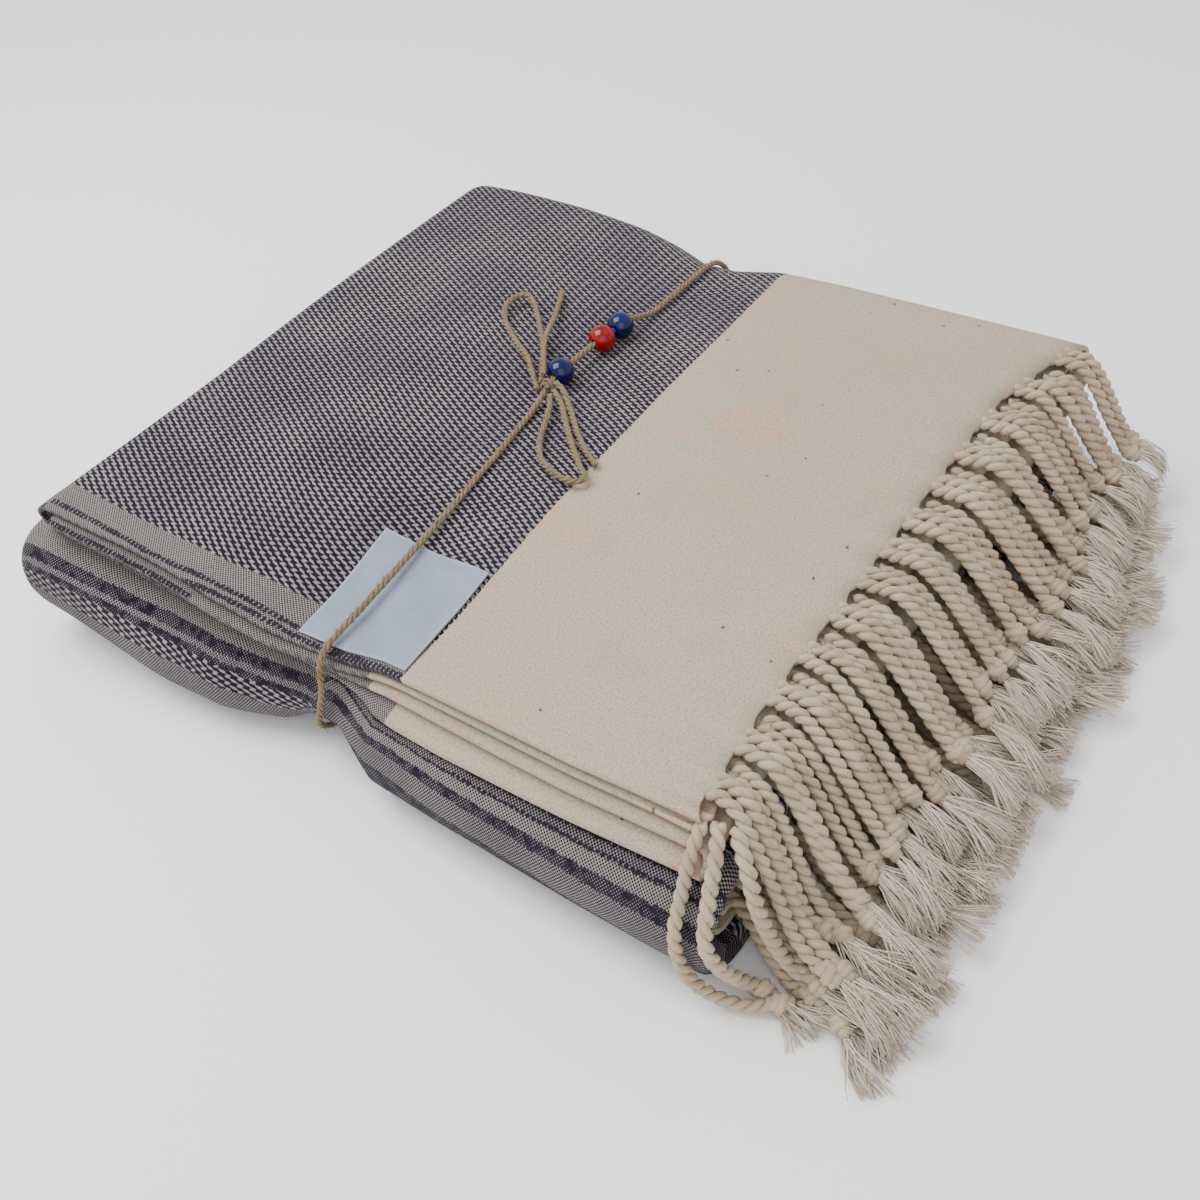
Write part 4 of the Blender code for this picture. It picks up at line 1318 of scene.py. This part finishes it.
def makeLabel(material):
    columns, rows = label["pieces"]
    flat = fold["farY"] - fold["nearY"]
    lift = (fold["cloth"] + label["thickness"]) / 2 + label["gap"]
    radius = topZ - nearZ + fold["midIndex"] * fold["upperPitch"]
    wide, tall = label["size"]
    points = []
    coords = []
    for i in range(columns + 1):
        a = i / columns
        for j in range(rows + 1):
            b = j / rows
            x = mix(mix(*label["topX"], a), mix(*label["lowX"], a), b)
            edge = edgeDegreesAt(1, x)
            above = mix(*label["upper"], a) * flat
            shoulder = radians(edge) * radius
            down = b * (above + mix(*label["lower"], a) * shoulder)
            if down < above:
                place = ("top", (above - down) / flat)
            else:
                place = ("shoulder", (down - above) / shoulder)
            point = clothPoint((x, 0.0, fold["midIndex"], edge), place, lift)
            point.z += label["wave"] * sin(a * 7.0 + 1.0) * sin(b * 9.0 + 2.0 * a)
            points.append(point)
            coords.append((a * wide, (1 - b) * tall))
    faces = []
    for i in range(columns):
        for j in range(rows):
            first = i * (rows + 1) + j
            faces.append((first, first + 1, first + rows + 2, first + rows + 1))
    corners = [coords[corner] for face in faces for corner in face]
    obj = addMesh("sewnLabel", points, faces, {"UVMap": corners})
    obj.data.materials.append(material)
    thicken(obj, label["thickness"])
    bpy.ops.object.shade_smooth_by_angle(angle=radians(label["sharp"]))
    return obj


def makeSatinMaterial():
    material, n, shader = newMaterial("labelSatin", 0.42, Specular_IOR_Level=0.45, Sheen_Weight=0.2,
                                      Anisotropic=0.4)
    uv = n.uvMap()
    across, along = n.separate(uv)
    threads = n.times(n.wave(across, 0.00055), 0.5)
    picks = n.wave(along, 0.0011)
    wide, tall = label["size"]
    slub = n.noise(n.combine(n.times(across, 90.0), n.times(along, 1500.0)), 1.0, 3.0, 0.6)
    cloud = n.noise(uv, 45.0, 2.0)
    colour = n.blend(n.step(cloud, 0.3, 0.7), linear(136, 146, 163), linear(125, 135, 153))
    colour = n.blend(n.times(n.step(slub, 0.45, 0.72), 0.35), colour, linear(104, 114, 132))
    fromSide = n.smaller(across, n.minus(wide, across))
    fromEnd = n.smaller(along, n.minus(tall, along))
    rim = n.minus(n.smaller(fromSide, fromEnd), n.times(slub, 0.0008))
    colour = n.blend(n.times(n.step(rim, 0.0009, 0.0003), 0.6), colour, linear(158, 164, 172))
    n.link(colour, shader.inputs["Base Color"])
    relief = n.plus(n.plus(threads, n.times(picks, 0.3)), slub)
    n.link(n.bump(relief, 0.00012, 0.7), shader.inputs["Normal"])
    return material


labelObject = makeLabel(makeSatinMaterial())
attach(labelObject, "root")
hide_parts("sewn_label")
print("label is made")


# The tie: its twine, with the fibres that stand off it, and the beads on it
tie = {
    "twine": 0.0032,
    "pitch": 0.0110,
    "spacing": 0.0009,                 # between the points of a route
    "clear": 0.0012,                   # between the twine and the cloth
    "hair": 0.00030,
    "hairs": 1500,                     # stray fibres on each metre
    "hairLong": (0.0016, 0.0042),
    "hairLean": (0.25, 0.60),
}
bead = {
    "radius": 0.0070,
    "cut": 0.0012,                     # what lies nearer to the axis is cut away for the hole
    "rim": 0.00035,
    "segments": (40, 20),
}
bowKnot = {
    "place": (-0.02307, 0.0213, 0.0805),
    "aim": (-0.02, 1.0, 0.14),
    "turns": 2.1,
    "steps": 48,
    "length": 0.0052,
    "radius": (0.00275, 0.0006),       # in its middle, and how much less at its ends
    "twine": 0.0024,
    "seed": 5,
}
wrapRoute = (
    # x, y, z in millimetres, round the bundle
    (-14.7, -173.3, 29.8), (-17.1, -171.4, 22.0), (-18.7, -165.3, 15.4), (-19.7, -155.9, 11.1),
    (-20.1, -145.1, 9.7), (-21.0, -110.8, 7.1), (-21.8, -76.6, 4.5), (-22.6, -40.0, 3.3),
    (-23.4, -3.4, 2.2), (-24.2, 31.5, 2.2), (-25.0, 66.4, 2.2), (-25.7, 101.3, 2.2),
    (-26.5, 136.2, 2.2), (-26.9, 153.7, 2.3), (-26.1, 164.1, 15.1), (-23.0, 174.5, 27.9),
    (-19.6, 184.9, 40.7), (-17.7, 186.9, 52.5), (-17.5, 181.5, 63.5), (-17.4, 171.3, 71.0),
    (-17.2, 158.1, 73.7), (-17.1, 141.3, 74.1), (-17.4, 124.5, 74.5), (-18.1, 107.7, 75.0),
    (-19.6, 88.8, 81.0), (-20.9, 74.6, 81.4), (-22.3, 60.4, 81.8), (-23.5, 39.4, 81.9),
    (-23.3, 25.4, 81.9), (-22.8, 17.5, 79.1), (-21.4, 3.1, 76.4), (-18.9, -14.9, 76.2),
    (-16.4, -32.9, 76.1), (-14.4, -50.9, 75.9), (-12.7, -72.0, 74.4), (-11.7, -93.1, 72.8),
    (-11.2, -110.3, 71.3), (-10.7, -127.4, 69.7), (-10.3, -144.5, 68.2), (-9.9, -161.7, 66.7),
    (-9.8, -166.1, 64.1), (-9.8, -169.2, 59.2), (-10.9, -171.3, 44.5),
)
beads = (
    # name, node, material slot, place, the way its twine runs
    ("beadNearKnot", "tie_bead_1", "bead_blue", (-0.02340, 0.0326, 0.08192), (-0.0002, 0.0120, 0.0)),
    ("beadMiddle", "tie_bead_2", "bead_red", (-0.02166, 0.0672, 0.08159), (0.0013, 0.0120, -0.0003)),
    ("beadOuter", "tie_bead_3", "bead_blue", (-0.02022, 0.0820, 0.08122), (0.0011, 0.0120, -0.0003)),
)
# routes over the cloth as (x, y, height above it), from the knot outward
loopLeft = (
    (-0.0276, 0.0188, 0.0022), (-0.0370, 0.0275, 0.0024), (-0.0480, 0.0375, 0.0020),
    (-0.0600, 0.0450, 0.0010), (-0.0740, 0.0545, 0.0008), (-0.0835, 0.0650, 0.0015),
    (-0.0840, 0.0740, 0.0025), (-0.0780, 0.0780, 0.0030), (-0.0690, 0.0720, 0.0025),
    (-0.0570, 0.0610, 0.0015), (-0.0460, 0.0490, 0.0015), (-0.0385, 0.0385, 0.0022),
    (-0.0274, 0.0222, 0.0048),
)
endLeft = (
    (-0.0268, 0.0236, 0.0086), (-0.0345, 0.0345, 0.0086), (-0.0410, 0.0440, 0.0080),
    (-0.0470, 0.0540, 0.0062), (-0.0525, 0.0650, 0.0036), (-0.0580, 0.0750, 0.0012),
    (-0.0635, 0.0850, 0.0002), (-0.0680, 0.0930, 0.0002),
)
loopRight = (
    (-0.0190, 0.0176, 0.0024), (-0.0145, 0.0110, 0.0018), (-0.0105, 0.0030, 0.0010),
    (-0.0060, -0.0080, 0.0005), (0.0000, -0.0180, 0.0008), (0.0080, -0.0265, 0.0010),
    (0.0190, -0.0325, 0.0015), (0.0300, -0.0350, 0.0015), (0.0350, -0.0305, 0.0015),
    (0.0275, -0.0235, 0.0015), (0.0170, -0.0135, 0.0015), (0.0070, -0.0035, 0.0018),
    (-0.0020, 0.0060, 0.0022), (-0.0095, 0.0140, 0.0026), (-0.0186, 0.0206, 0.0036),
)
endRight = (
    (-0.0184, 0.0222, 0.0072), (-0.0120, 0.0202, 0.0052), (-0.0035, 0.0130, 0.0020),
    (0.0055, 0.0040, 0.0008), (0.0150, -0.0050, 0.0003), (0.0240, -0.0125, 0.0002),
    (0.0330, -0.0185, 0.0002),
)


def overCloth(route):
    clear = tie["twine"] / 2 + tie["clear"]
    return [topOfCloth(x, y, clear + above) for x, y, above in route]


def makeJuteMaterial():
    material, n, shader = newMaterial("juteTwine", 0.9, Specular_IOR_Level=0.12, Sheen_Weight=0.08)
    uv = n.uvMap()
    along, round_ = n.separate(uv)
    strand = n.attribute("strand")
    skewed = n.scaled(along, 0.4, round_)
    fibres = n.noise(n.combine(n.times(along, 260.0), n.times(skewed, 4200.0),
                               n.times(strand, 40.0)), 1.0, 3.0, 0.65)
    slow = n.noise(n.combine(n.times(along, 45.0), strand), 1.0, 2.0)
    colour = n.blend(fibres, linear(68, 54, 40), linear(168, 147, 118))
    colour = n.blend(n.times(n.step(slow, 0.4, 0.7), 0.4), colour, linear(120, 102, 80))
    n.link(colour, shader.inputs["Base Color"])
    n.link(n.bump(fibres, 0.0003, 0.9), shader.inputs["Normal"])
    return material


juteMaterial = makeJuteMaterial()


def addHairs(builder, route, rng):
    # stray fibres that stand off the twine
    for _ in range(round(tie["hairs"] * routeLength(route))):
        i = rng.randrange(2, len(route) - 2)
        aim = (route[i + 1] - route[i - 1]).normalized()
        if rng.random() < 0.5:
            aim = -aim
        out = aim.cross(Vector((rng.uniform(-1, 1), rng.uniform(-1, 1), rng.uniform(-1, 1)))).normalized()
        long = rng.uniform(*tie["hairLong"])
        lean = rng.uniform(*tie["hairLean"])
        start = route[i] + out * tie["twine"] * 0.35
        path = []
        for t in (0.0, 0.35, 0.7, 1.0):
            path.append(onFloor(start + aim * long * t + out * long * lean * t ** 1.5, 0.0004))
        builder.tube(path, tie["hair"] * rng.uniform(0.7, 1.3), 3, lambda t: 1.0 - 0.6 * t)


def twineRope(name, node, route, closed=False):
    rng = random.Random(len(route))
    builder = Builder()
    twistedPlies(builder, route, tie["twine"], 3, tie["pitch"], 6, 0.0, None, closed)
    addHairs(builder, route, rng)
    obj = builder.finish(name, juteMaterial)
    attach(obj, "root")
    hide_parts(node)
    return obj


def makeKnot():
    # two turns of the twine drawn up round it
    builder = Builder()
    centre = shifted(Vector(bowKnot["place"]))
    aim, side, over = crossFrame(Vector(bowKnot["aim"]))
    widest, less = bowKnot["radius"]
    path = []
    for i in range(bowKnot["steps"] + 1):
        t = i / bowKnot["steps"]
        angle = 2 * pi * bowKnot["turns"] * t + 0.6
        forward = bowKnot["length"] * (t - 0.5) + 0.0007 * sin(angle)
        radius = widest - less * abs(2 * t - 1) ** 3
        path.append(centre + aim * forward + (side * cos(angle) + over * sin(angle)) * radius)
    route = evenRoute(path, 0.0006)
    twistedPlies(builder, route, bowKnot["twine"], 2, tie["pitch"], 7)
    addHairs(builder, route, random.Random(bowKnot["seed"]))
    obj = builder.finish("bowKnot", juteMaterial)
    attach(obj, "root")
    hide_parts("tie_knot")


def makeBeadMaterial(name, deep, bright):
    material, n, shader = newMaterial(name, 0.12, Specular_IOR_Level=0.22, Coat_Weight=0.30,
                                      Coat_Roughness=0.04)
    place = n.add("ShaderNodeTexCoord").outputs["Object"]
    cloud = n.noise(place, 260.0, 3.0, 0.6)
    n.link(n.blend(n.step(cloud, 0.3, 0.75), deep, bright), shader.inputs["Base Color"])
    wear = n.noise(place, 900.0, 2.0)
    n.link(n.scaled(wear, 0.12, 0.06), shader.inputs["Roughness"])
    return material


def makeBead():
    # a ball whose poles are cut away and joined by a smooth hole
    selectOnly()
    segments, rings = bead["segments"]
    bpy.ops.mesh.primitive_uv_sphere_add(segments=segments, ring_count=rings, radius=bead["radius"])
    obj = bpy.context.active_object
    bpy.ops.object.mode_set(mode="EDIT")
    bpy.ops.mesh.select_all(action="DESELECT")
    mesh = bmesh.from_edit_mesh(obj.data)
    for vert in mesh.verts:
        vert.select_set(sqrt(vert.co.x ** 2 + vert.co.y ** 2) < bead["cut"])
    mesh.select_flush(True)
    bmesh.update_edit_mesh(obj.data)
    bpy.ops.mesh.delete(type="VERT")
    bpy.ops.mesh.select_all(action="DESELECT")
    bpy.ops.mesh.select_mode(type="EDGE")
    bpy.ops.mesh.select_non_manifold()
    bpy.ops.mesh.bridge_edge_loops()
    bpy.ops.mesh.select_all(action="SELECT")
    bpy.ops.mesh.normals_make_consistent(inside=False)
    bpy.ops.object.mode_set(mode="OBJECT")
    rim = obj.modifiers.new("Rim", "BEVEL")
    rim.width = bead["rim"]
    rim.segments = 3
    rim.angle_limit = radians(45)
    bpy.ops.object.modifier_apply(modifier="Rim")
    bpy.ops.object.shade_smooth_by_angle(angle=radians(50))
    return obj


firstBead = makeBead()
beadMaterials = {
    "bead_blue": makeBeadMaterial("blueBead", linear(0, 2, 44), linear(2, 8, 88)),
    "bead_red": makeBeadMaterial("redBead", linear(100, 0, 0), linear(150, 2, 4)),
}
for name, node, slot, place, aim in beads:
    obj = firstBead.copy()
    obj.data = firstBead.data.copy()
    obj.name = name
    obj.data.name = name
    obj.data.materials.append(beadMaterials[slot])
    bpy.context.scene.collection.objects.link(obj)
    turn = Vector(aim).to_track_quat("Z", "Y").to_matrix().to_4x4()
    obj.data.transform(Matrix.Translation(shifted(Vector(place))) @ turn)
    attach(obj, "root")
    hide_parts(node)
bpy.data.objects.remove(firstBead)
print("beads are made")

makeKnot()
wrapLine = smoothRoute([shifted(Vector(place) / 1000) for place in wrapRoute], 8, True)
twineRope("tieWrap", "tie_wrap", evenRoute(wrapLine, tie["spacing"], True), True)
for name, node, route in (
    ("bowLoopLeft", "bow_loop_left", loopLeft),
    ("bowLoopRight", "bow_loop_right", loopRight),
):
    twineRope(name, node, evenRoute(smoothRoute(overCloth(route), 6), tie["spacing"]))
for name, node, route in (
    ("tieEndLeft", "tie_end_left", endLeft),
    ("tieEndRight", "tie_end_right", endRight),
):
    line = evenRoute(smoothRoute(overCloth(route), 6), 0.0010)
    rope = twineRope(name, node, line)
print("tie is made")


# Floor and light
studio = {
    "floor": 0.93,
    "floorZ": -0.0004,
    "floorSize": 8.0,
    "sky": 1.0,
    "aim": (0.0, 0.0, 0.04),
    "lamps": (
        # name, place, size, power
        ("keyLight", (-0.55, -0.25, 1.15), 0.9, 21.0),
        ("fillLight", (0.9, -0.9, 0.9), 1.2, 7.0),
    ),
}


def makeFloor():
    selectOnly()
    bpy.ops.mesh.primitive_plane_add(size=studio["floorSize"], location=(0.0, 0.0, studio["floorZ"]))
    floor = bpy.context.active_object
    floor.name = "floor"
    shade = studio["floor"]
    floor.data.materials.append(newMaterial("paleFloor", 0.9, Base_Color=(shade, shade, shade, 1.0))[0])


def makeLight():
    world = bpy.data.worlds.new("studio")
    bpy.context.scene.world = world
    world.use_nodes = True
    background = world.node_tree.nodes["Background"]
    background.inputs["Color"].default_value = (1.0, 1.0, 1.0, 1.0)
    background.inputs["Strength"].default_value = studio["sky"]
    for name, place, size, power in studio["lamps"]:
        data = bpy.data.lights.new(name, "AREA")
        data.energy = power
        data.size = size
        lamp = addObject(name, data)
        lamp.location = place
        aim = Vector(studio["aim"]) - Vector(place)
        lamp.rotation_mode = "QUATERNION"
        lamp.rotation_quaternion = aim.to_track_quat("-Z", "Y")


makeFloor()
makeLight()
